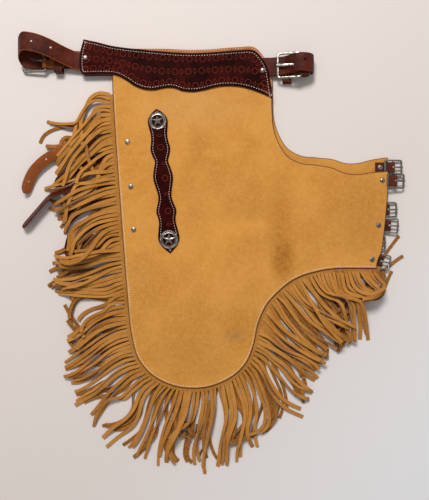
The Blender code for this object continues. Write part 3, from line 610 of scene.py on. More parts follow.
strap_face = leather("strap_face", (0.046, 0.0060, 0.0025), (0.12, 0.017, 0.005), (0.22, 0.048, 0.016), 0.4,
                     gloss=0.14)
strap_edge = leather("strap_edge", (0.030, 0.012, 0.007), (0.065, 0.026, 0.014), (0.13, 0.06, 0.03), 0.5)
strap_flesh = leather("strap_flesh_side", (0.25, 0.062, 0.014), (0.36, 0.098, 0.024), (0.44, 0.16, 0.055),
                      0.82, 0.6, 0.5, 0.1)
STRAP_FINISHES = [strap_face, strap_edge, strap_flesh]


def add_strap(bm, rows, width, thick, section=PLAIN_SECTION, face=0, back=0, point=0.0, tone=None):
    """Adds a strap. rows are its middle, the way across and the way up, from end to end.

    Sides and ends get finish 1. point is how far back from its end a strap starts to narrow.
    """
    cells = len(section) - 1
    tones = bm.verts.layers.float.get("tone") or bm.verts.layers.float.new("tone")
    grid = bmesh.ops.create_grid(bm, x_segments=cells, y_segments=len(rows) - 1, size=1.0)["verts"]
    ups, last = {}, len(rows) - 1
    tail = [0.0] * len(rows)
    for i in range(last - 1, -1, -1):
        tail[i] = tail[i + 1] + (rows[i + 1][0] - rows[i][0]).length
    for k, v in enumerate(grid):
        i, c = divmod(k, cells + 1)
        middle, across, up = rows[i]
        share, rise = section[c]
        narrow = 1.0 - 0.5 * (1.0 - tail[i] / point) ** 2 if tail[i] < point else 1.0
        v.co = middle + across * (share * narrow * width / 2) - up * (rise * thick / 2)
        v[tones] = tone or 0.0
        ups[tuple(v.co)] = up * (rise * thick)
    faces = list({f for v in grid for f in v.link_faces})
    made = bmesh.ops.extrude_face_region(bm, geom=faces)["geom"]
    raised = [v for v in made if isinstance(v, bmesh.types.BMVert)]
    everything = set(raised)
    for v in raised:
        everything.update(e.other_vert(v) for e in v.link_edges)
        v.co += ups[tuple(v.co)]
    shell = list({f for v in everything for f in v.link_faces})
    bmesh.ops.recalc_face_normals(bm, faces=shell)
    lifted = set(raised)
    for f in shell:
        on_top = sum(v in lifted for v in f.verts)
        f.material_index = face if on_top == len(f.verts) else back if on_top == 0 else 1
        f.smooth = True
    for e in {e for f in shell for e in f.edges}:
        e.smooth = len({f.material_index == 1 for f in e.link_faces}) == 1
    return bm


def rolled_rows(middles, rolls):
    """Rows for a strap that lies flat along its middles, rolled about the way it runs."""
    rows = []
    for i, (p, roll) in enumerate(zip(middles, rolls)):
        along = (middles[min(i + 1, len(middles) - 1)] - middles[max(i - 1, 0)]).normalized()
        level = Vector((-along.y, along.x, 0.0)).normalized()
        up = along.cross(level).normalized()
        rows.append((p, level * cos(roll) + up * sin(roll), up * cos(roll) - level * sin(roll)))
    return rows


def strap_rows(route, spacing):
    """Rows for a strap along (x, y, z, roll in degrees)."""
    run = curve_through(route, spacing)
    return rolled_rows([p.xyz for p in run], [radians(p[3]) for p in run])


def punched(piece, places, radius, turn=None, size=None):
    """Cuts round holes, or turned slots of a size, through a finished piece. Places are in millimetres."""
    cut = bmesh.new()
    for place in places:
        at = Matrix.Translation(Vector(place)) @ (turn or Matrix.Identity(4))
        if size is None:
            bmesh.ops.create_cone(cut, cap_ends=True, segments=16, radius1=radius, radius2=radius, depth=14.0,
                                  matrix=at)
        else:
            bmesh.ops.create_cube(cut, size=1.0, matrix=at @ Matrix.Diagonal((*size, 1.0)))
    bmesh.ops.scale(cut, vec=(0.001, 0.001, 0.001), verts=cut.verts)
    mesh = bpy.data.meshes.new("punch")
    cut.to_mesh(mesh)
    cut.free()
    punch = bpy.data.objects.new("punch", mesh)
    bpy.context.scene.collection.objects.link(punch)
    modifier = piece.modifiers.new("holes", "BOOLEAN")
    modifier.operation, modifier.solver, modifier.object = "DIFFERENCE", "EXACT", punch
    bpy.context.view_layer.update()
    evaluated = piece.evaluated_get(bpy.context.evaluated_depsgraph_get())
    whole = bpy.data.meshes.new_from_object(evaluated)
    tidy = bmesh.new()
    tidy.from_mesh(whole)
    bmesh.ops.remove_doubles(tidy, verts=tidy.verts, dist=1e-6)
    bmesh.ops.recalc_face_normals(tidy, faces=tidy.faces)
    tidy.to_mesh(whole)
    tidy.free()
    piece.modifiers.clear()
    old, piece.data = piece.data, whole
    whole.name = piece.name
    bpy.data.meshes.remove(old)
    bpy.data.objects.remove(punch)
    bpy.data.meshes.remove(mesh)
    return piece


# Where along each billet its holes are, as shares of its length.
BILLET_HOLES = {"near_1": (0.535, 0.66, 0.90), "near_2": (0.5, 0.6), "near_3": (0.62, 0.74, 0.86)}
BILLET_HOLE_RADIUS, BILLET_POINT, BILLET_STEP = 1.7, 12.0, 4.0
for name, route in {**NEAR_BILLETS, **FAR_BILLETS}.items():
    rows = strap_rows(route, BILLET_STEP)
    face, back = (2, 0) if name == "near_1" else (0, 2)
    bm = add_strap(bmesh.new(), rows, BILLET_WIDTH, BILLET_THICK, STRAP_SECTION, face, back, BILLET_POINT)
    billet = finished(f"billet_{name}", bm, STRAP_FINISHES, [f"leg_billet_{name}"])
    for share in BILLET_HOLES.get(name, (0.7, 0.85)):
        middle, across, up = rows[round(share * (len(rows) - 1))]
        turn = up.to_track_quat("Z", "Y").to_matrix().to_4x4()
        punched(billet, [middle], BILLET_HOLE_RADIUS, turn)

# ---- fringes -----------------------------------------------------------------------------------------
# A fringe is a band of the same suede, sewn under the leg's edge and cut into strips 4.6 to 7 mm wide
# and 150 mm long. Nothing holds the strips, so they are laid one after another on what is already down.
# A lock is the way that one strip runs, as (x, y) from its root, and the strips between two are led by both.
STRIP_WIDTH, STRIP_THICK, STRIP_PITCH, STRIP_LENGTH = 5.3, 1.8, 7.0, 154.0
STRIP_WIDTHS, STRIP_REACHES = (0.86, 1.32), (0.93, 1.04)  # as shares of the width, and of the lock's length
SHAKES, BEATS = (0.5, 2.6), (0.6, 1.5)  # a strip's waves: how far from side to side in mm, and how many
LEANS, EDGE_ON_LEANS, EDGE_ON_SHARE = (4, 26), (45, 80), 0.3  # roll in degrees, and how many lie on edge
GATHERING = 0.7  # how much of the way from its root to its lock's root a strip's tip has come
PATH_POINTS, PATH_TRIES, STRIP_STEP = 28, 14, 5.6
SETTLING_ROUNDS, SAG, TIP_DROOP, REST_GAP = 60, 0.07, 0.5, 0.05
HEADING_IN, HEADING_OUT, HEADING_THICK = 8.5, 6.0, 1.8
NEAR_HEADING_MIDDLE, FAR_HEADING_MIDDLE = 7.6, 3.2
NEAR_LOCKS = [
    [(-174, 279), (-185, 283), (-195, 284), (-206, 280), (-214, 272), (-221, 260), (-228, 248),
     (-233, 236), (-234, 220), (-236, 204), (-237, 192)],
    [(-173, 269), (-186, 271), (-199, 271), (-209, 266), (-218, 255), (-225, 243), (-232, 232),
     (-249, 229), (-267, 227), (-286, 229)],
    [(-172, 260), (-186, 261), (-199, 257), (-206, 248), (-211, 236), (-218, 222), (-227, 208),
     (-237, 194), (-248, 181)],
    [(-172, 251), (-185, 251), (-195, 246), (-204, 236), (-216, 218), (-230, 201), (-246, 183),
     (-262, 166), (-276, 150)],
    [(-171, 239), (-186, 237), (-200, 229), (-214, 215), (-228, 201), (-244, 185), (-260, 167),
     (-274, 152)],
    [(-170, 229), (-185, 225), (-197, 216), (-211, 202), (-225, 188), (-239, 173), (-249, 155),
     (-256, 138), (-263, 125)],
    [(-169, 220), (-183, 218), (-197, 216), (-209, 212), (-216, 204), (-215, 187), (-212, 167),
     (-207, 146)],
    [(-169, 215), (-183, 211), (-197, 202), (-209, 190), (-221, 178), (-237, 162), (-256, 146),
     (-281, 127)],
    [(-168, 202), (-183, 199), (-195, 192), (-207, 181), (-220, 171), (-232, 162), (-246, 148),
     (-267, 127)],
    [(-167, 192), (-183, 188), (-199, 185), (-214, 183), (-227, 181), (-234, 174), (-234, 166),
     (-230, 158), (-221, 154), (-211, 156)],
    [(-166, 180), (-178, 176), (-186, 167), (-193, 155), (-197, 141), (-204, 127), (-218, 113),
     (-232, 101), (-246, 89)],
    [(-165, 169), (-176, 167), (-185, 160), (-192, 150), (-199, 138), (-211, 124), (-228, 115),
     (-249, 106)],
    [(-164, 149), (-179, 146), (-197, 145), (-213, 143), (-225, 136), (-242, 131), (-263, 124),
     (-293, 117)],
    [(-163, 141), (-179, 138), (-197, 132), (-214, 128), (-232, 126), (-239, 117), (-244, 103), (-253, 82),
     (-258, 50)],
    [(-162, 132), (-179, 129), (-200, 122), (-218, 115), (-232, 108), (-246, 99), (-263, 90), (-279, 83)],
    [(-161, 117), (-179, 113), (-200, 106), (-220, 97), (-239, 89), (-258, 83), (-281, 85)],
    [(-160, 101), (-179, 97), (-200, 92), (-221, 85), (-239, 76), (-246, 68), (-255, 55), (-258, 45)],
    [(-159, 87), (-178, 83), (-199, 75), (-218, 64), (-232, 54), (-241, 40), (-242, 24), (-244, 12)],
    [(-158, 73), (-176, 70), (-195, 66), (-211, 57), (-225, 45), (-234, 31), (-235, 17), (-239, 3)],
    [(-158, 61), (-174, 57), (-192, 50), (-207, 40), (-221, 27), (-234, 17), (-244, 6), (-249, -2)],
    [(-157, 48), (-172, 45), (-185, 38), (-195, 26), (-204, 12), (-218, -1), (-235, -9), (-253, -9),
     (-267, -2)],
    [(-156, 36), (-171, 33), (-181, 26), (-190, 15), (-200, 8), (-218, 3), (-235, -2), (-249, -4)],
    [(-155, 24), (-171, 19), (-188, 13), (-207, 8), (-225, 1), (-242, -6), (-263, 1), (-270, 8)],
    [(-154, 10), (-171, 8), (-188, 6), (-207, 1), (-227, -4), (-246, -9), (-267, -8), (-279, -5)],
    [(-153, -2), (-169, -5), (-186, -9), (-204, -16), (-221, -22), (-239, -25), (-256, -24), (-267, -22)],
    [(-152, -13), (-169, -16), (-188, -22), (-206, -30), (-223, -37), (-241, -43), (-258, -44),
     (-274, -46)],
    [(-151, -25), (-167, -27), (-185, -30), (-202, -34), (-221, -37), (-242, -43), (-263, -48),
     (-284, -46)],
    [(-150, -36), (-165, -41), (-179, -47), (-193, -51), (-211, -54), (-228, -53), (-249, -50),
     (-272, -46)],
    [(-150, -46), (-164, -51), (-179, -58), (-197, -60), (-218, -59), (-239, -57), (-260, -54),
     (-284, -53)],
    [(-149, -57), (-164, -62), (-179, -66), (-197, -67), (-218, -65), (-239, -62), (-260, -58),
     (-284, -58)],
    [(-148, -71), (-162, -73), (-171, -81), (-179, -92), (-192, -100), (-207, -107), (-220, -120),
     (-225, -134), (-225, -146)],
    [(-148, -81), (-164, -82), (-176, -86), (-186, -95), (-200, -101), (-214, -109), (-223, -121),
     (-225, -135)],
    [(-147, -93), (-164, -95), (-179, -99), (-195, -106), (-211, -116), (-227, -127), (-242, -135),
     (-260, -144)],
    [(-146, -107), (-162, -108), (-179, -111), (-195, -118), (-207, -125), (-218, -135), (-232, -146),
     (-242, -156)],
    [(-144, -121), (-162, -125), (-179, -132), (-197, -142), (-214, -155), (-232, -167), (-249, -179),
     (-267, -191)],
    [(-142, -135), (-160, -139), (-178, -148), (-195, -158), (-213, -170), (-230, -181), (-248, -191),
     (-265, -198)],
    [(-137, -153), (-155, -158), (-172, -163), (-190, -174), (-207, -186), (-225, -195), (-242, -202),
     (-255, -205)],
    [(-132, -170), (-150, -174), (-167, -183), (-185, -195), (-202, -207), (-220, -218), (-235, -225),
     (-248, -226)],
    [(-125, -183), (-141, -188), (-158, -197), (-174, -209), (-188, -223), (-206, -237), (-225, -247),
     (-241, -258)],
    [(-116, -195), (-132, -202), (-146, -212), (-160, -226), (-174, -240), (-186, -256), (-200, -275),
     (-213, -293)],
    [(-106, -205), (-120, -214), (-132, -225), (-143, -235), (-155, -247), (-176, -247), (-190, -258),
     (-202, -275), (-206, -300)],
    [(-95, -212), (-109, -223), (-120, -235), (-127, -251), (-134, -270), (-148, -289), (-174, -307),
     (-197, -328)],
    [(-85, -218), (-95, -230), (-104, -246), (-111, -263), (-118, -282), (-129, -307), (-141, -326),
     (-151, -337)],
    [(-74, -223), (-85, -237), (-94, -253), (-101, -272), (-108, -293), (-116, -316), (-127, -338),
     (-139, -358)],
    [(-64, -226), (-71, -244), (-78, -261), (-87, -281), (-95, -303), (-102, -326), (-106, -345),
     (-108, -359)],
    [(-52, -229), (-57, -247), (-64, -267), (-73, -288), (-81, -310), (-90, -333), (-95, -354)],
    [(-39, -230), (-43, -249), (-48, -270), (-57, -291), (-67, -312), (-78, -335), (-81, -358)],
    [(-27, -230), (-29, -251), (-34, -272), (-41, -286), (-55, -293), (-67, -300), (-78, -314),
     (-81, -333), (-74, -352), (-60, -370)],
    [(-15, -229), (-15, -251), (-18, -272), (-24, -293), (-29, -316), (-31, -338), (-25, -365)],
    [(-3, -226), (-1, -247), (-1, -268), (-4, -291), (-10, -316), (-15, -342), (-15, -365), (-11, -387)],
    [(10, -221), (13, -242), (17, -263), (17, -286), (13, -309), (8, -333), (4, -356), (-1, -380)],
    [(24, -216), (29, -235), (34, -256), (36, -279), (31, -300), (25, -323), (25, -347), (24, -373)],
    [(36, -207), (43, -226), (50, -247), (52, -270), (48, -293), (43, -316), (39, -335), (38, -365)],
    [(46, -200), (55, -218), (62, -237), (67, -258), (67, -281), (64, -300), (69, -321), (81, -342)],
    [(55, -190), (66, -205), (74, -225), (81, -244), (87, -265), (88, -282), (85, -298), (73, -310),
     (57, -316)],
    [(62, -179), (76, -193), (87, -211), (95, -230), (106, -246), (120, -261), (137, -272), (158, -282)],
    [(67, -167), (83, -177), (97, -193), (111, -209), (125, -225), (139, -239), (157, -249), (174, -254)],
    [(71, -156), (87, -163), (104, -176), (122, -188), (136, -202), (151, -216), (167, -226), (183, -235)],
    [(73, -148), (88, -155), (106, -162), (125, -172), (143, -184), (158, -198), (174, -211), (190, -221)],
    [(76, -135), (90, -142), (104, -155), (118, -167), (136, -177), (153, -184), (171, -195), (188, -212)],
    [(80, -120), (94, -132), (108, -142), (122, -155), (139, -167), (157, -177), (174, -186), (186, -193)],
    [(87, -100), (99, -113), (111, -127), (125, -141), (141, -153), (158, -165), (176, -176), (193, -184)],
    [(94, -86), (104, -102), (116, -118), (130, -132), (146, -146), (164, -160), (183, -172), (202, -183)],
    [(102, -76), (113, -92), (123, -109), (136, -125), (150, -141), (167, -156), (185, -169), (204, -174)],
    [(113, -64), (125, -78), (136, -95), (148, -113), (162, -128), (179, -144), (197, -155), (211, -165)],
    [(125, -53), (137, -67), (150, -83), (162, -99), (174, -114), (192, -128), (209, -142), (225, -151)],
    [(136, -45), (146, -58), (160, -74), (178, -86), (199, -97), (220, -106), (239, -113), (258, -120)],
    [(148, -37), (158, -51), (169, -69), (181, -86), (193, -104), (207, -121), (223, -137), (239, -149)],
    [(162, -32), (172, -48), (183, -64), (193, -81), (206, -97), (220, -114), (230, -134), (237, -155)],
    [(176, -28), (183, -44), (192, -58), (206, -65), (220, -69), (228, -79), (232, -102), (235, -128),
     (237, -156)],
    [(192, -24), (197, -41), (206, -55), (220, -64), (237, -69), (248, -81), (251, -106), (255, -132),
     (256, -155)],
    [(207, -22), (211, -39), (216, -55), (230, -64), (246, -69), (258, -76), (263, -99), (269, -125),
     (276, -151)],
    [(223, -21), (225, -39), (228, -55), (241, -64), (258, -67), (276, -64), (290, -58), (300, -48)],
    [(237, -21), (239, -37), (244, -51), (255, -60), (270, -64), (286, -60), (298, -53)],
    [(249, -21), (253, -34), (260, -46), (270, -55), (284, -57), (297, -51)],
    [(263, -21), (268, -33), (276, -44), (284, -51), (284, -60), (272, -68), (255, -74)],
    [(274, -21), (280, -32), (288, -42), (295, -50), (291, -60), (276, -69), (254, -75)],
    [(284, -21), (291, -30), (298, -38), (303, -46), (299, -57), (283, -70), (258, -79)],
]
FAR_LOCKS = [
    [(-172, 288), (-190, 274), (-207, 257), (-225, 243), (-246, 236), (-267, 237), (-297, 243)],
    [(-171, 278), (-188, 264), (-206, 248), (-221, 236), (-239, 230), (-260, 229), (-286, 228)],
    [(-169, 265), (-188, 251), (-207, 239), (-228, 230), (-249, 225), (-270, 218), (-288, 208),
     (-298, 197)],
    [(-169, 257), (-188, 243), (-209, 232), (-228, 225), (-249, 220), (-270, 213), (-286, 202),
     (-293, 188)],
    [(-169, 244), (-188, 232), (-207, 222), (-225, 213), (-239, 208), (-256, 212), (-262, 201),
     (-256, 190), (-242, 187)],
    [(-167, 230), (-186, 218), (-206, 208), (-225, 201), (-246, 197), (-267, 194), (-290, 192)],
    [(-164, 178), (-183, 164), (-202, 148), (-218, 131), (-232, 113), (-242, 94), (-249, 71)],
    [(-160, 152), (-179, 134), (-200, 117), (-221, 99), (-242, 87), (-263, 78), (-281, 82)],
    [(-158, 117), (-178, 101), (-199, 85), (-218, 68), (-235, 47), (-249, 26), (-256, 12)],
    [(-157, 82), (-178, 64), (-197, 43), (-214, 22), (-232, 5), (-253, -9), (-274, -13)],
    [(-155, 38), (-176, 26), (-197, 15), (-218, 1), (-239, -13), (-256, -27), (-270, -34)],
    [(-151, -9), (-176, -20), (-197, -25), (-221, -27), (-246, -32), (-270, -41), (-286, -51)],
    [(-150, -37), (-176, -57), (-200, -62), (-225, -60), (-242, -62), (-248, -76), (-251, -83)],
    [(-148, -55), (-172, -69), (-200, -67), (-228, -65), (-242, -72), (-249, -86), (-253, -100),
     (-253, -111)],
    [(-147, -93), (-165, -114), (-186, -121), (-206, -130), (-220, -142), (-225, -160)],
    [(-144, -128), (-165, -142), (-190, -155), (-207, -156), (-221, -144), (-239, -120), (-260, -88)],
    [(-143, -137), (-162, -160), (-186, -177), (-211, -184), (-232, -184), (-251, -167)],
    [(-136, -160), (-155, -184), (-176, -202), (-197, -212), (-218, -223), (-246, -230)],
    [(-118, -184), (-137, -205), (-155, -226), (-179, -237), (-204, -240), (-228, -251)],
    [(-101, -198), (-116, -219), (-130, -244), (-130, -272), (-144, -293), (-165, -303), (-190, -307)],
    [(-78, -212), (-92, -237), (-101, -261), (-109, -286), (-116, -314), (-134, -331), (-151, -342)],
    [(-57, -218), (-67, -237), (-71, -260), (-67, -282), (-60, -305), (-48, -316), (-38, -307),
     (-32, -289)],
    [(-31, -218), (-39, -244), (-50, -272), (-60, -300), (-71, -324), (-74, -349), (-59, -370)],
    [(-4, -214), (-8, -240), (-15, -268), (-22, -296), (-25, -324), (-22, -352), (-11, -373)],
    [(22, -202), (38, -251), (52, -277), (55, -300), (48, -317), (27, -324), (8, -331)],
    [(48, -184), (59, -212), (69, -240), (69, -268), (59, -293), (48, -314), (45, -335), (69, -349)],
    [(69, -163), (83, -195), (94, -223), (113, -254), (116, -274), (106, -293), (88, -305), (74, -310)],
    [(83, -120), (104, -155), (122, -184), (136, -216), (146, -244), (150, -268), (139, -282)],
    [(97, -76), (122, -107), (143, -135), (160, -163), (171, -188), (178, -216), (174, -240)],
    [(127, -44), (146, -72), (167, -97), (188, -121), (206, -142), (213, -163), (202, -184)],
    [(162, -23), (185, -48), (206, -65), (223, -86), (230, -111), (234, -135), (241, -153)],
    [(197, -16), (220, -34), (241, -51), (255, -76), (244, -97), (223, -107)],
    [(212, -11), (226, -32), (238, -56), (240, -80), (230, -98), (214, -106)],
    [(222, -9), (232, -30), (246, -52), (262, -68), (278, -76), (292, -70), (301, -52), (311, -34),
     (323, -17)],
    [(236, -8), (240, -30), (246, -50), (240, -70), (226, -84), (210, -92)],
    [(247, -8), (253, -24), (264, -32), (278, -29), (291, -17), (304, -1), (319, 14), (334, 29)],
    [(257, -8), (264, -28), (270, -48), (262, -66), (246, -80), (230, -88)],
    [(267, -8), (274, -22), (286, -28), (298, -22), (310, -12), (325, -1), (341, 8)],
    [(284, -8), (286, -30), (280, -50), (268, -66), (250, -80), (232, -90)],
]
CLEAR_SPOTS = [
    # x, y, reach: places where the table shows between the strips
    (-193, 277, 5), (-209, 263, 6), (-220, 245, 6), (-224, 222, 5), (-222, -43, 8), (-205, -43, 9),
    (-190, -44, 8), (-233, -43, 6), (-222, -98, 14), (-205, -92, 14), (-190, -88, 12), (-236, -105, 10),
    (-236, -88, 8), (-166, -260, 6), (-160, -272, 6), (-166, -250, 6), (-108, -275, 5), (-18, -250, 5),
    (-38, -264, 7), (-16, -270, 7), (-30, -290, 4),
]
CELL, MAP_X, MAP_Y = 1.0, -360.0, -410.0  # the pile's cells, and where its first one is
SIDES = 0.84  # how far out a strip presses and is pressed, as a share of its half width
pile = np.zeros((720, 840), np.float32)  # how high the leather has been laid at each place, in mm


def cells_of(x, y):
    """The pile's cells at places, as two indices."""
    return (np.clip(((x - MAP_X) / CELL).astype(int), 0, pile.shape[0] - 1),
            np.clip(((y - MAP_Y) / CELL).astype(int), 0, pile.shape[1] - 1))


def stamp(rows, width, thick):
    """Adds a strap's upper side to the pile."""
    middles = np.array([tuple(r[0]) for r in rows])
    sides, ups = np.array([tuple(r[1]) for r in rows]), np.array([tuple(r[2]) for r in rows])
    fine = np.linspace(0, len(rows) - 1, 6 * len(rows))
    for u in np.linspace(-SIDES, SIDES, 9) * width / 2:
        edge = middles + sides * u + ups * thick / 2
        x, y, z = (np.interp(fine, np.arange(len(rows)), edge[:, c]) for c in range(3))
        np.maximum.at(pile, cells_of(x, y), z.astype(np.float32))


def stamp_inside(rim, top):
    """Adds a flat sheet's upper side to the pile."""
    xs, ys = np.meshgrid(np.arange(pile.shape[0]) * CELL + MAP_X, np.arange(pile.shape[1]) * CELL + MAP_Y,
                         indexing="ij")
    inside = np.zeros(pile.shape, bool)
    for a, b in zip(rim, rim[1:] + rim[:1]):
        if a.y != b.y:
            crosses = (a.y > ys) != (b.y > ys)
            inside ^= crosses & (xs < (b.x - a.x) * (ys - a.y) / (b.y - a.y) + a.x)
    pile[inside] = np.maximum(pile[inside], top)


def settled(path, rolls, start_z):
    """Rows of a strip that lies on the pile along a path of (x, y), bridging hollows with a slight sag."""
    points = np.array([tuple(p) for p in path])
    along = np.gradient(points, axis=0)
    along /= np.linalg.norm(along, axis=1)[:, None]
    left = np.stack([-along[:, 1], along[:, 0]], axis=1)
    need = np.zeros(len(points))
    for u in np.linspace(-SIDES, SIDES, 5) * STRIP_WIDTH / 2:
        for ahead in (-0.5, 0.0, 0.5):
            at = points + left * (u * np.cos(rolls))[:, None] + along * (ahead * 5.0)
            lower = pile[cells_of(at[:, 0], at[:, 1])] - u * np.sin(rolls)
            need = np.maximum(need, lower)
    need += STRIP_THICK / 2 + REST_GAP
    z = need.copy()
    z[0] = start_z
    for _ in range(SETTLING_ROUNDS):
        z[1:-1] = np.maximum(need[1:-1], 0.5 * (z[:-2] + z[2:]) - SAG)
        z[-1] = max(need[-1], 2 * z[-2] - z[-3] - TIP_DROOP)
        z[0] = start_z
    return rolled_rows([Vector((*p, rise)) for p, rise in zip(points, z)], rolls)


def reach_near(run, place):
    """Where on a run the point nearest to a place lies, in millimetres from its start."""
    nearest = min(range(len(run)), key=lambda i: (run[i] - Vector(place)).length)
    return lengths_along(run)[nearest]


def even_count(points, count):
    """A run through points as an even number of places, no longer than a strip."""
    run = curve_through(points, 4.0)
    lengths = lengths_along(run)
    wanted = np.linspace(0.0, min(lengths[-1], STRIP_LENGTH), count)
    return np.stack([np.interp(wanted, lengths, [p[c] for p in run]) for c in (0, 1)], axis=1)


def lay_fringe(edge, locks, heading_middle, rise, jitter, seed, clear, painted_shade):
    """A heading band and its strips, led by the locks along the edge.

    jitter is how far a strip strays, in degrees, clear holds places to keep off, and the last argument
    darkens every strip as painted shade, for a fringe that lies under another.
    """
    dice = random.Random(seed)
    bm = bmesh.new()
    middle_of_band = beside(edge, (HEADING_IN - HEADING_OUT) / 2)
    band = []
    for i, p in enumerate(middle_of_band):
        ahead = middle_of_band[min(i + 1, len(edge) - 1)] - middle_of_band[max(i - 1, 0)]
        side = Vector((-ahead.y, ahead.x, 0.0)).normalized()
        band.append((Vector((p.x, p.y, heading_middle + rise(p.y + 10.0))), side, Vector((0.0, 0.0, 1.0))))
    add_strap(bm, band, HEADING_IN + HEADING_OUT, HEADING_THICK, tone=0.5)
    stamp(band, HEADING_IN + HEADING_OUT - 3.0, HEADING_THICK)
    rim = beside(edge, -HEADING_OUT + 0.4)
    marks = [reach_near(edge, lock[0]) for lock in locks]
    paths = [even_count(lock, PATH_POINTS) for lock in locks]
    lengths = lengths_along(edge)
    strips = []
    for k, root in enumerate(evenly(edge, STRIP_PITCH)):
        at = k * STRIP_PITCH
        foot = np.array([np.interp(at, lengths, [p[c] for p in rim]) for c in (0, 1)])
        after = next((i for i, mark in enumerate(marks) if mark >= at), len(marks) - 1)
        before = max(after - 1, 0)
        gap = marks[after] - marks[before]
        t = 0.0 if gap < 1e-6 else max(0.0, min(1.0, (at - marks[before]) / gap))
        t = t ** 3 / (t ** 3 + (1 - t) ** 3)
        flow = paths[before] * (1 - t) + paths[after] * t
        for _ in range(PATH_TRIES):
            swing = radians(dice.gauss(0.0, jitter))
            shake, beat, start = dice.uniform(*SHAKES), dice.uniform(*BEATS), dice.uniform(0.0, 2 * pi)
            reach = dice.uniform(*STRIP_REACHES)
            c, s = cos(swing), sin(swing)
            path = [foot]
            offset = foot - flow[0]
            for i in range(2, PATH_POINTS):
                share = i / (PATH_POINTS - 1)
                step = (flow[i] - flow[0]) * reach
                bent = np.array([step[0] * c - step[1] * s, step[0] * s + step[1] * c])
                wave = shake * share * sin(2 * pi * beat * share + start)
                way = flow[min(i + 1, PATH_POINTS - 1)] - flow[i - 1]
                way = way / (np.linalg.norm(way) + 1e-9)
                fade = 1.0 - GATHERING * share
                path.append(flow[0] + offset * fade + bent + np.array([-way[1], way[0]]) * wave)
            if not any((p[0] - x) ** 2 + (p[1] - y) ** 2 < r * r for p in path for x, y, r in clear):
                break
        else:
            continue
        path = [Vector(p) for p in path]
        smooth = evenly(curve_through(path[:1] + path[2:], 3.0), STRIP_STEP)
        leans = EDGE_ON_LEANS if dice.random() < EDGE_ON_SHARE else LEANS
        lean = radians(dice.uniform(*leans)) * dice.choice((-1, 1))
        peak = dice.uniform(0.35, 0.8)
        shares = np.linspace(0.0, 1.0, len(smooth))
        rolls = lean * np.exp(-((shares - peak) / 0.27) ** 2) * np.clip(shares / 0.15, 0, 1)
        # A strip's tone: a random part of its own, plus the painted shade given to a fringe that lies
        # underneath.
        strips.append((smooth, rolls, heading_middle + rise(root.y + 10.0), painted_shade + 0.45 * dice.random(),
                       STRIP_WIDTH * dice.uniform(*STRIP_WIDTHS)))
    dice.shuffle(strips)
    for smooth, rolls, start_z, tone, width in strips:
        rows = settled(smooth, rolls, start_z)
        add_strap(bm, rows, width, STRIP_THICK, tone=tone)
        stamp(rows, width, STRIP_THICK)
    return bm


fringe_suede, tree, shader, nap_out, tan = brushed_suede("fringe_suede", 0.05, 1.2, (0.46, 0.175, 0.028, 1.0),
                                                         (0.56, 0.24, 0.050, 1.0))
own_tone = put(tree, "ShaderNodeAttribute", {"attribute_name": "tone"}).outputs["Fac"]
# The tone attribute darkens a strip: a random tone of its own, and for the far fringe, which lies under the
# near one, painted shade.
tan = mixed(tree, spread(tree, own_tone, 0.0, 1.2, 0.0, 0.9), tan, (0.23, 0.075, 0.010, 1.0))
tan = mixed(tree, spread(tree, nap_out["Brushed"], 0.35, 0.7, 0.0, 0.35), tan, (0.62, 0.30, 0.085, 1.0))
tree.links.new(tan, shader.inputs["Base Color"])
raise_by(tree, shader, nap_out["Height"], 0.5, 0.0007)
strip_side = cut_side("fringe_cut_side", (0.22, 0.105, 0.058, 1.0), (0.40, 0.235, 0.15, 1.0), 0.15)

stamp_inside(far_outline, FAR_TOP_Z)
# The far fringe lies under the near one, and its strips are painted darker as painted shade.
bm = lay_fringe(far_edge, FAR_LOCKS, FAR_HEADING_MIDDLE, far_rise, jitter=5.0, seed=11, clear=CLEAR_SPOTS,
                painted_shade=0.8)
far_fringe = finished("far_fringe", bm, [fringe_suede, strip_side], ["fringe_far"])
for routes in (FAR_BILLETS, NEAR_BILLETS):
    for route in routes.values():
        stamp(strap_rows(route, BILLET_STEP), BILLET_WIDTH, BILLET_THICK)
stamp_inside(near_outline, NEAR_PANEL_Z + SUEDE)
bm = lay_fringe(near_edge, NEAR_LOCKS, NEAR_HEADING_MIDDLE, lambda y: 0.0, jitter=2.6, seed=23, clear=(),
                painted_shade=0.0)
near_fringe = finished("near_fringe", bm, [fringe_suede, strip_side], ["fringe_near"])

# ---- yokes -------------------------------------------------------------------------------------------
# The yoke joins a leg to the belt: 2.6 mm veg-tanned leather dyed near black, its lower edge scalloped,
# stamped with rings and ovals inside a row of pale stitches. The far yoke lies face down with its
# orange lining up, and only a sliver of it shows along the belt edge.
YOKE_Z, YOKE_THICK, LINING_Z, LINING_THICK = 11.1, 2.6, 6.1, 1.3
RING_SIZE, OVAL_LONG, OVAL_WIDE = 5.6, 5.2, 2.9  # half sizes of the stamps
STAMP_PITCH, STAMP_REACH = 11.6, 7.0
YOKE_SEAM_IN, YOKE_SEAM_PITCH, FINE_STITCH = 4.6, 4.6, 0.85


def stamps_along(run, pitch, first=0):
    """Stamps along a run, rings and ovals by turns: x, y, the way the run goes, and which stamp."""
    places = evenly(run, pitch)
    marks = []
    for i, p in enumerate(places):
        along = places[min(i + 1, len(places) - 1)] - places[max(i - 1, 0)]
        marks.append((p.x, p.y, atan2(along.y, along.x), (i + first) % 2))
    return marks


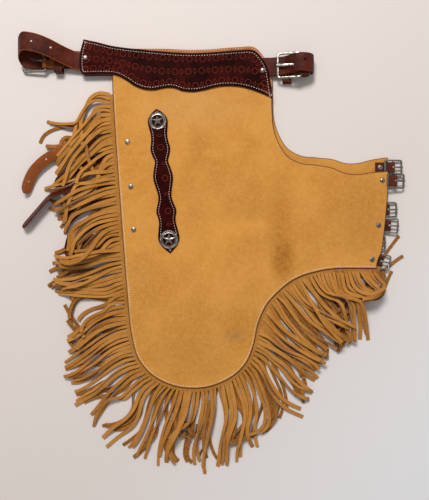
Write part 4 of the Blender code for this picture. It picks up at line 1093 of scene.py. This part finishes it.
def stamp_depth(x, y, mark):
    """How deep a stamp presses the leather at a place, and how much of its outline is there."""
    mx, my, turn, oval = mark
    dx, dy = x - mx, y - my
    if oval:
        u, v = dx * cos(turn) + dy * sin(turn), dy * cos(turn) - dx * sin(turn)
        edge = (abs(u / OVAL_WIDE) ** 1.3 + abs(v / OVAL_LONG) ** 1.3) ** (1 / 1.3)
        line = exp(-((edge - 0.85) / 0.2) ** 2)
        return 0.55 * line + 0.3 * exp(-(edge / 0.3) ** 2), line
    r = hypot(dx, dy)
    line = exp(-((r - RING_SIZE * 0.88) / 0.7) ** 2)
    return 0.6 * line + 0.35 * exp(-(r / 1.3) ** 2), line


def tooled_sheet(rim, cell, thick, marks, bottom):
    """A stamped sheet with a rounded edge. The attribute tooled is 1 in the stamps' outlines."""
    bm = cut_sheet(rim, cell, bottom, thick)
    tooled = bm.verts.layers.float.new("tooled")
    tree_of_marks, tree_of_rim = KDTree(len(marks)), KDTree(len(rim))
    for i, mark in enumerate(marks):
        tree_of_marks.insert((mark[0], mark[1], 0.0), i)
    for i, p in enumerate(rim):
        tree_of_rim.insert((p.x, p.y, 0.0), i)
    tree_of_marks.balance()
    tree_of_rim.balance()
    for v in bm.verts:
        x, y = v.co.x, v.co.y
        if v.co.z - bottom(x, y) < thick / 2:
            continue
        from_rim = tree_of_rim.find((x, y, 0.0))[2]
        # a rounded edge, and a groove beside it
        drop = 0.75 * exp(-(from_rim / 0.9) ** 2) + 0.22 * exp(-((from_rim - 2.9) / 0.8) ** 2)
        line = 0.0
        for _, i, away in tree_of_marks.find_n((x, y, 0.0), 2):
            if away < STAMP_REACH:
                depth, mark_line = stamp_depth(x, y, marks[i])
                drop, line = drop + depth, max(line, mark_line)
        drop += 0.10 * noise.noise((x * 0.7, y * 0.7, 3.0))
        v.co.z -= drop
        v[tooled] = line
    return bm


tooled_leather, tree, shader = new_material("tooled_leather", 0.5)
shader.inputs["Specular IOR Level"].default_value = 0.03
out = grouped(tree, leather_grain, 1.1)
ground = mixed(tree, spread(tree, out["Cloud"], 0.3, 0.7), (0.011, 0.0006, 0.0005, 1.0),
               (0.042, 0.0022, 0.0012, 1.0))
line = put(tree, "ShaderNodeAttribute", {"attribute_name": "tooled"}).outputs["Fac"]
ground = mixed(tree, spread(tree, line, 0.2, 0.75, 0.0, 1.0), ground, (0.15, 0.018, 0.007, 1.0))
ground = mixed(tree, times(tree, out["Worn"], 0.12), ground, (0.16, 0.03, 0.014, 1.0))
tree.links.new(ground, shader.inputs["Base Color"])
tree.links.new(spread(tree, out["Cloud"], 0.2, 0.8, 0.46, 0.3), shader.inputs["Roughness"])
raise_by(tree, shader, out["Height"], 0.3, 0.0004)
lining_leather = leather("lining_leather", (0.40, 0.12, 0.025), (0.52, 0.19, 0.045), (0.58, 0.26, 0.09), 0.7,
                         0.8)

yoke_rim = smooth_rim(rim_of("yoke_near"), 1.6, 50.0)
inset = closed_inside(yoke_rim, 10.5)
yoke_marks = [m for m in stamps_along(inset, STAMP_PITCH) if m[0] > -226.0]
YOKE_MIDDLE = [Vector(p) for p in ((-214, 345), (-170, 340), (-110, 326), (-60, 322), (0, 325), (50, 326),
                                   (80, 322))]
yoke_marks += stamps_along(curve_through(YOKE_MIDDLE, 2.0), STAMP_PITCH, 1)


def yoke_bottom(x, y):
    """The near yoke's underside, gently uneven."""
    return YOKE_Z + 0.5 * (1 + noise.noise((x * 0.02, y * 0.02, 7.0)))


TOOLED_FINISHES = [tooled_leather, strap_edge]
bm = tooled_sheet(yoke_rim, 1.1, YOKE_THICK, yoke_marks, yoke_bottom)
near_yoke = finished("near_yoke", bm, TOOLED_FINISHES, ["yoke_near"])
near_yoke_seam = seam("near_yoke_seam", closed_inside(yoke_rim, YOKE_SEAM_IN),
                      YOKE_SEAM_PITCH, [lambda x, y: yoke_bottom(x, y) + YOKE_THICK - 0.1], 3.0, FINE_STITCH)


def dropped(rim):
    """The far yoke hangs a little lower at its front end."""
    for p in rim:
        share = max(0.0, min(1.0, (-60.0 - p.x) / 110.0))
        p.y -= 7.0 * share * share * (3 - 2 * share)
    return rim


far_yoke_rim = dropped(smooth_rim(rim_of("yoke_far"), 2.5, 50.0))
bm = cut_sheet(far_yoke_rim, 7.0, lambda x, y: 0.0, YOKE_THICK)
far_yoke = finished("far_yoke", bm, TOOLED_FINISHES, ["yoke_far"])
lining_rim = dropped(smooth_rim(rim_of("yoke_lining_far"), 2.5, 50.0))
bm = cut_sheet(lining_rim, 7.0, lambda x, y: LINING_Z + 0.4 * noise.noise((x * 0.03, y * 0.03, 2.0)),
               LINING_THICK)
far_lining = finished("far_yoke_lining", bm, [lining_leather, strap_edge], ["yoke_lining_far"])
far_lining_seam = seam("far_lining_seam", closed_inside(lining_rim, 2.6), 4.9,
                       [lambda x, y: LINING_Z + LINING_THICK + 0.25])

# ---- side strip --------------------------------------------------------------------------------------
# A shaped strip of the same dark leather runs down the outside of the thigh, stitched down both edges
# and stamped down its middle, with a concho over each end.
STRIP_Z, STRIP_LEATHER, STRIP_LEAN = 11.1, 2.2, -84.5
STRIP_MARKS = [
    # x, y, which stamp
    (-92.8, 211.1, 1), (-90.6, 190.8, 0), (-84.4, 162.9, 1), (-82.6, 137.0, 0), (-79.3, 109.7, 1),
    (-77.5, 79.8, 0), (-75.6, 56.6, 1),
]
strip_rim = smooth_rim(rim_of("side_strip"), 1.2, 38.0)
marks = [(x, y, radians(STRIP_LEAN), oval) for x, y, oval in STRIP_MARKS]
bm = tooled_sheet(strip_rim, 0.9, STRIP_LEATHER, marks, lambda x, y: STRIP_Z)
side_strip = finished("thigh_strip", bm, TOOLED_FINISHES, ["side_strip"])
strip_seam = seam("thigh_strip_seam", closed_inside(strip_rim, 4.0), 4.4,
                  [lambda x, y: STRIP_Z + STRIP_LEATHER - 0.1], 2.7, FINE_STITCH)

# ---- conchos -----------------------------------------------------------------------------------------
# Cast discs in antique nickel: a beaded ring round a five-pointed star, open between the points.
BEADS, STAR_TIP, STAR_NOTCH = 40, 0.72, 0.24  # the star's reach, as shares of the concho's radius


def metal(name, light, dark, roughness):
    """Antique plate: clean on what is handled, dark and rougher where it is not."""
    material, tree, shader = new_material(name, roughness, 1.0)
    where = object_place(tree)
    stain = put(tree, "ShaderNodeTexNoise", Vector=where, Scale=210.0, Detail=5.0, Roughness=0.7)
    streak = put(tree, "ShaderNodeTexNoise", Vector=where, Scale=1400.0, Detail=3.0)
    tone = mixed(tree, spread(tree, stain.outputs["Fac"], 0.42, 0.68), (*light, 1.0), (*dark, 1.0))
    tree.links.new(tone, shader.inputs["Base Color"])
    tree.links.new(spread(tree, stain.outputs["Fac"], 0.35, 0.7, roughness - 0.08, roughness + 0.2),
                   shader.inputs["Roughness"])
    raise_by(tree, shader, streak.outputs["Fac"], 0.18, 0.0003)
    return material


nickel = metal("antique_nickel", (0.34, 0.315, 0.27), (0.10, 0.088, 0.075), 0.34)


def middle_of(node):
    """A CAD node's middle, its half width, its foot and its top, in millimetres."""
    low, high = (corner * 1000.0 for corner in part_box(node))
    return (low.x + high.x) / 2, (low.y + high.y) / 2, (high.x - low.x) / 2, low.z, high.z


def turned(bm, profile, centre, steps):
    """Adds a body turned round a vertical line from a profile of (radius, z)."""
    verts = [bm.verts.new((centre[0] + r, centre[1], z)) for r, z in profile]
    edges = [bm.edges.new(pair) for pair in zip(verts, verts[1:])]
    if profile[0][0] > 0.0:
        edges.append(bm.edges.new((verts[-1], verts[0])))
    bmesh.ops.spin(bm, geom=verts + edges, axis=(0, 0, 1), cent=(centre[0], centre[1], 0), steps=steps,
                   angle=2 * pi, use_merge=True)
    bmesh.ops.remove_doubles(bm, verts=bm.verts, dist=1e-4)
    return bm


def shaded_round(bm, angle):
    """Shades a body round, with the edges that turn by more than an angle kept."""
    for f in bm.faces:
        f.smooth = True
    for e in bm.edges:
        e.smooth = e.is_manifold and e.calc_face_angle(0.0) < radians(angle)
    return bm


def smooth_metal(bm, angle=40.0):
    """Points a metal body's faces outwards and shades it round."""
    bmesh.ops.recalc_face_normals(bm, faces=bm.faces)
    return shaded_round(bm, angle)


RING = [
    # share of the radius, height above the foot
    (0.66, 0.2), (0.97, 0.0), (1.0, 0.6), (0.985, 1.5), (0.94, 1.9), (0.80, 1.6), (0.76, 2.1), (0.70, 2.3),
    (0.66, 1.8),
]
for node, points_turn in (("concho_top", 6.0), ("concho_bottom", 0.0)):
    x, y, radius, z, _ = middle_of(node)
    bm = turned(bmesh.new(), [(radius * share, z + rise) for share, rise in RING], (x, y), 48)
    for k in range(BEADS):
        a = 2 * pi * k / BEADS
        at = Matrix.Translation((x + radius * 0.86 * cos(a), y + radius * 0.86 * sin(a), z + 1.75))
        bmesh.ops.create_icosphere(bm, subdivisions=2, radius=radius * 0.062, matrix=at)
    corners = []
    for k in range(10):
        a = pi / 2 + radians(points_turn) + pi * k / 5
        reach = radius * (STAR_TIP if k % 2 == 0 else STAR_NOTCH)
        corners.append(bm.verts.new((x + reach * cos(a), y + reach * sin(a), z + 1.0)))
    star = bm.faces.new(corners)
    made = bmesh.ops.extrude_face_region(bm, geom=[star])["geom"]
    top = [f for f in made if isinstance(f, bmesh.types.BMFace)]
    bmesh.ops.translate(bm, vec=(0, 0, 0.7), verts=[v for v in made if isinstance(v, bmesh.types.BMVert)])
    bmesh.ops.poke(bm, faces=top, offset=1.3)
    smooth_metal(bm, 12.0)
    finished(f"star_{node}", bm, [nickel], [node])

# ---- rivets ------------------------------------------------------------------------------------------
# Domed rivets hold the billets, and the belt to the yoke. Slotted screws hold the rest.
SCREWS = ["rivet_near_buckle_2", "rivet_near_buckle_3", "rivet_near_billet_1", "rivet_near_billet_2",
          "rivet_near_billet_3"]
NEAR_CROWN, FAR_CROWN, SHANK, CAP_EDGE = 1.7, 0.9, 2.0, 0.2
for node in sorted(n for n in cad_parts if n.startswith("rivet_")):
    x, y, cap, foot, top = middle_of(node)
    crown = FAR_CROWN if "far" in node else NEAR_CROWN
    rim = top - crown
    profile = [(0.0, foot), (SHANK, foot), (SHANK, rim), (cap * 0.96, rim), (cap, rim + CAP_EDGE)]
    if node in SCREWS:
        profile += [(cap * 0.97, rim + 0.7 * crown), (cap * 0.86, rim + 0.92 * crown), (0.0, top)]
    else:
        arcs = [radians(15 * k) for k in range(1, 6)]
        profile += [(cap * cos(a), rim + CAP_EDGE + (crown - CAP_EDGE) * sin(a)) for a in arcs] + [(0.0, top)]
    bm = smooth_metal(turned(bmesh.new(), profile, (x, y), 24))
    rivet = finished(f"set_{node}", bm, [nickel], [node])
    if node in SCREWS:
        punched(rivet, [(x, y, top + 0.2)], 0.0, Matrix.Rotation(radians(-52), 4, "Z"), (12.0, 1.3, 1.8))

# ---- leg buckles -------------------------------------------------------------------------------------
# A short strap is riveted under the leg, goes round a centre-bar buckle's bar and comes back on itself.
# The tongue is bent round the bar in the strap's slot and rests on the frame.
LEG_BUCKLES = [
    # name, x, y, z of the bar's middle, turn, rise of the strap's flat end, how far back its rivet is
    ("near_1", 319.5, 132.2, 10.2, -2.0, -3.0, 23.0),
    ("near_2", 309.5, 54.2, 5.4, -3.0, 1.8, 20.0),
    ("near_3", 295.5, -8.3, 5.4, -12.0, 1.8, 17.5),
    ("far_1", 316.5, 156.2, 5.5, 0.0, -1.9, 22.0),
    ("far_2", 307.5, 82.2, 5.5, 0.0, -1.9, 22.0),
    ("far_3", 287.5, 24.2, 5.5, 0.0, -1.9, 22.0),
]
# The strap's thickness and width, how far it runs past its rivet, its middle's distance from the bar's
# axis where it goes round, and half the distance between the two plies where they lie flat.
CHAPE_PLY, CHAPE_WIDTH, CHAPE_TAIL, PLY_MIDDLE, FLAT_HALF = 1.2, 18.0, 9.0, 2.46, 0.75
SLOT_BACK, SLOT_FRONT, SLOT_WIDTH, SLOT_DEEP = -3.56, 6.0, 4.0, 9.0  # the tongue's slot
ROUNDING_ANGLE = 30.0


def softened(name, node, finishes, body, width):
    """A copy of a CAD node whose edges are rounded, in place of the node."""
    bm = bmesh.new()
    bm.from_mesh(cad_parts[node].data)
    bmesh.ops.scale(bm, vec=(1000.0, 1000.0, 1000.0), verts=bm.verts)
    bmesh.ops.remove_doubles(bm, verts=bm.verts, dist=1e-3)
    bmesh.ops.dissolve_limit(bm, angle_limit=radians(1.0), verts=bm.verts, edges=bm.edges)
    sharp = [e for e in bm.edges if e.is_manifold and e.calc_face_angle(0.0) > radians(ROUNDING_ANGLE)]
    bmesh.ops.bevel(bm, geom=sharp, offset=width, offset_type="OFFSET", affect="EDGES", segments=3,
                    profile=0.5, material=-1, clamp_overlap=True)
    return finished(name, shaded_round(bm, 50.0), finishes, [node], body)


def turned_rows(points, spacing, place=None):
    """Rows for a strap seen from its side: points of (x, z) or (x, y, z), its width along Y."""
    place = place or Matrix.Identity(4)
    across = (place.to_3x3() @ Vector((0.0, 1.0, 0.0))).normalized()
    points = [(p[0], 0.0, p[1]) if len(p) == 2 else p for p in points]
    run = [place @ p for p in curve_through(points, spacing)]
    rows = []
    for i, p in enumerate(run):
        along = (run[min(i + 1, len(run) - 1)] - run[max(i - 1, 0)]).normalized()
        up = along.cross(across).normalized()
        rows.append((p, across, up))
    return rows


for name, x, y, z, turn, rise, back in LEG_BUCKLES:
    turned_by = Matrix.Rotation(radians(turn), 4, "Z")
    place = Matrix.Translation((x, y, z)) @ turned_by
    flat = -(back + CHAPE_TAIL)
    low, high = rise - FLAT_HALF, rise + FLAT_HALF
    wrap = [radians(-110 + 20 * k) for k in range(12)]
    profile = [(flat, low), (-13.0, low), (-7.0, rise * 0.5 - 1.1)]
    profile += [(PLY_MIDDLE * cos(a), PLY_MIDDLE * sin(a)) for a in wrap]
    profile += [(-7.0, rise * 0.5 + 1.1), (-13.0, high), (flat, high)]
    rows = turned_rows(profile, 1.2, place)
    bm = add_strap(bmesh.new(), rows, CHAPE_WIDTH, CHAPE_PLY, STRAP_SECTION, 2, 0)
    chape = finished(f"buckle_strap_{name}", bm, STRAP_FINISHES, [f"leg_chape_{name}"])
    punched(chape, [place @ Vector(((SLOT_BACK + SLOT_FRONT) / 2, 0, 0))], 0.0, turned_by,
            (SLOT_FRONT - SLOT_BACK, SLOT_WIDTH, SLOT_DEEP))
    softened(f"frame_{name}", f"leg_buckle_{name}", [nickel], "root", 0.75)
    body = "root" if name == "far_3" else f"tongue_{name}"
    softened(f"prong_{name}", f"leg_tongue_{name}", [nickel], body, 0.4)

# ---- waist belt --------------------------------------------------------------------------------------
# Bridle leather 32 mm wide. On the right the near billet passes under the frame's end, over the heel bar
# and down round the loop. On the left it arches out and turns back under, and the buckle lies face down.
BELT_WIDTH, BELT_THICK = 32.0, 2.8
RIGHT_BILLET = [
    (75.5, 330.7, 9.4), (99.5, 331.2, 9.4), (115.5, 332.0, 10.8), (125.5, 332.8, 12.8), (134.5, 333.6, 20.5),
    (141.5, 334.0, 27.5), (149.5, 334.3, 30.8), (158.5, 334.4, 30.6), (167.0, 334.5, 27.0),
    (173.0, 334.5, 20.5), (175.0, 334.4, 13.0), (172.0, 334.2, 7.0),
]
RIGHT_CHAPE = [
    (75.5, 333.2, 4.3), (107.5, 332.4, 4.3), (121.5, 331.5, 3.1), (153.5, 330.7, 3.1), (163.0, 330.7, 5.5),
    (167.8, 330.7, 11.5), (166.5, 330.7, 18.5), (161.0, 330.7, 24.3),
]
LEFT_BILLET = [
    (-200.5, 340.2, 9.4), (-234.5, 341.2, 9.4), (-245.5, 344.2, 12.5), (-259.5, 349.2, 19.5),
    (-278.5, 357.2, 30.0), (-296.5, 363.2, 36.5), (-312.5, 366.7, 37.6), (-325.5, 368.2, 33.5),
    (-333.5, 363.2, 24.0), (-335.0, 355.2, 15.5), (-330.5, 348.2, 9.6), (-320.5, 345.2, 7.2),
    (-308.5, 344.7, 4.7), (-294.5, 344.7, 3.2), (-254.5, 344.7, 3.2),
]
LEFT_CHAPE = [(-200.5, 344.2, 4.3), (-234.5, 344.2, 4.3), (-248.5, 344.7, 6.5), (-282.5, 344.7, 6.5)]
HEEL_LOOP = hypot(4.2, 3.2) / 2 + 0.2 + BELT_THICK / 2  # the strap's middle round the heel bar
RIGHT_HEEL, LEFT_HEEL = (152.5, 330.7, 22.5), (-291.5, 344.7, 10.6)
BELT_HOLE_RADIUS = 1.9


def heel_turn(heel, start, end):
    """The strap's way round a heel bar, between two angles."""
    angles = [radians(start + (end - start) * k / 12) for k in range(13)]
    return [(heel[0] + HEEL_LOOP * cos(a), heel[1], heel[2] + HEEL_LOOP * sin(a)) for a in angles]


RIGHT_CHAPE += heel_turn(RIGHT_HEEL, 60, 290) + [(159.5, 330.7, 18.2), (162.1, 330.7, 13.6)]
LEFT_CHAPE += heel_turn(LEFT_HEEL, 290, 70) + [(-284.0, 344.7, 9.9), (-258.5, 344.7, 9.9)]
BELT_STRAPS = [
    # name, route, face up, face down, point, slots (place, size), holes (place)
    ("billet_right", RIGHT_BILLET, 0, 2, 0.0, [((134.0, 331.7, 20.0), (19.0, 5.4, 16.0))],
     [(158.0, 338.6, 31.0)]),
    ("chape_right", RIGHT_CHAPE, 2, 0, 0.0, [((152.0, 331.7, 22.5), (11.5, 5.4, 12.5))], []),
    ("billet_left", LEFT_BILLET, 0, 2, 22.0, [((-308.5, 344.7, 4.8), (22.0, 5.4, 9.0))],
     [(-308.4, 367.2, 37.0), (-277.4, 358.9, 30.0)]),
    ("chape_left", LEFT_CHAPE, 2, 0, 0.0, [((-291.0, 344.7, 10.6), (12.0, 5.4, 13.0))], []),
]
for name, route, face, back, point, slots, holes in BELT_STRAPS:
    rows = turned_rows(route, 2.0)
    bm = add_strap(bmesh.new(), rows, BELT_WIDTH, BELT_THICK, STRAP_SECTION, face, back, point)
    strap = finished(f"belt_strap_{name}", bm, STRAP_FINISHES, [f"belt_{name}"])
    for place, size in slots:
        punched(strap, [place], 0.0, None, size)
    if holes:
        punched(strap, holes, BELT_HOLE_RADIUS)
for side in ("left", "right"):
    softened(f"belt_loop_{side}", f"belt_keeper_{side}", [strap_face], "root", 0.5)
    softened(f"belt_frame_{side}", f"belt_buckle_{side}", [nickel], "root", 1.0)
    softened(f"belt_prong_{side}", f"belt_tongue_{side}", [nickel], "root", 0.5)
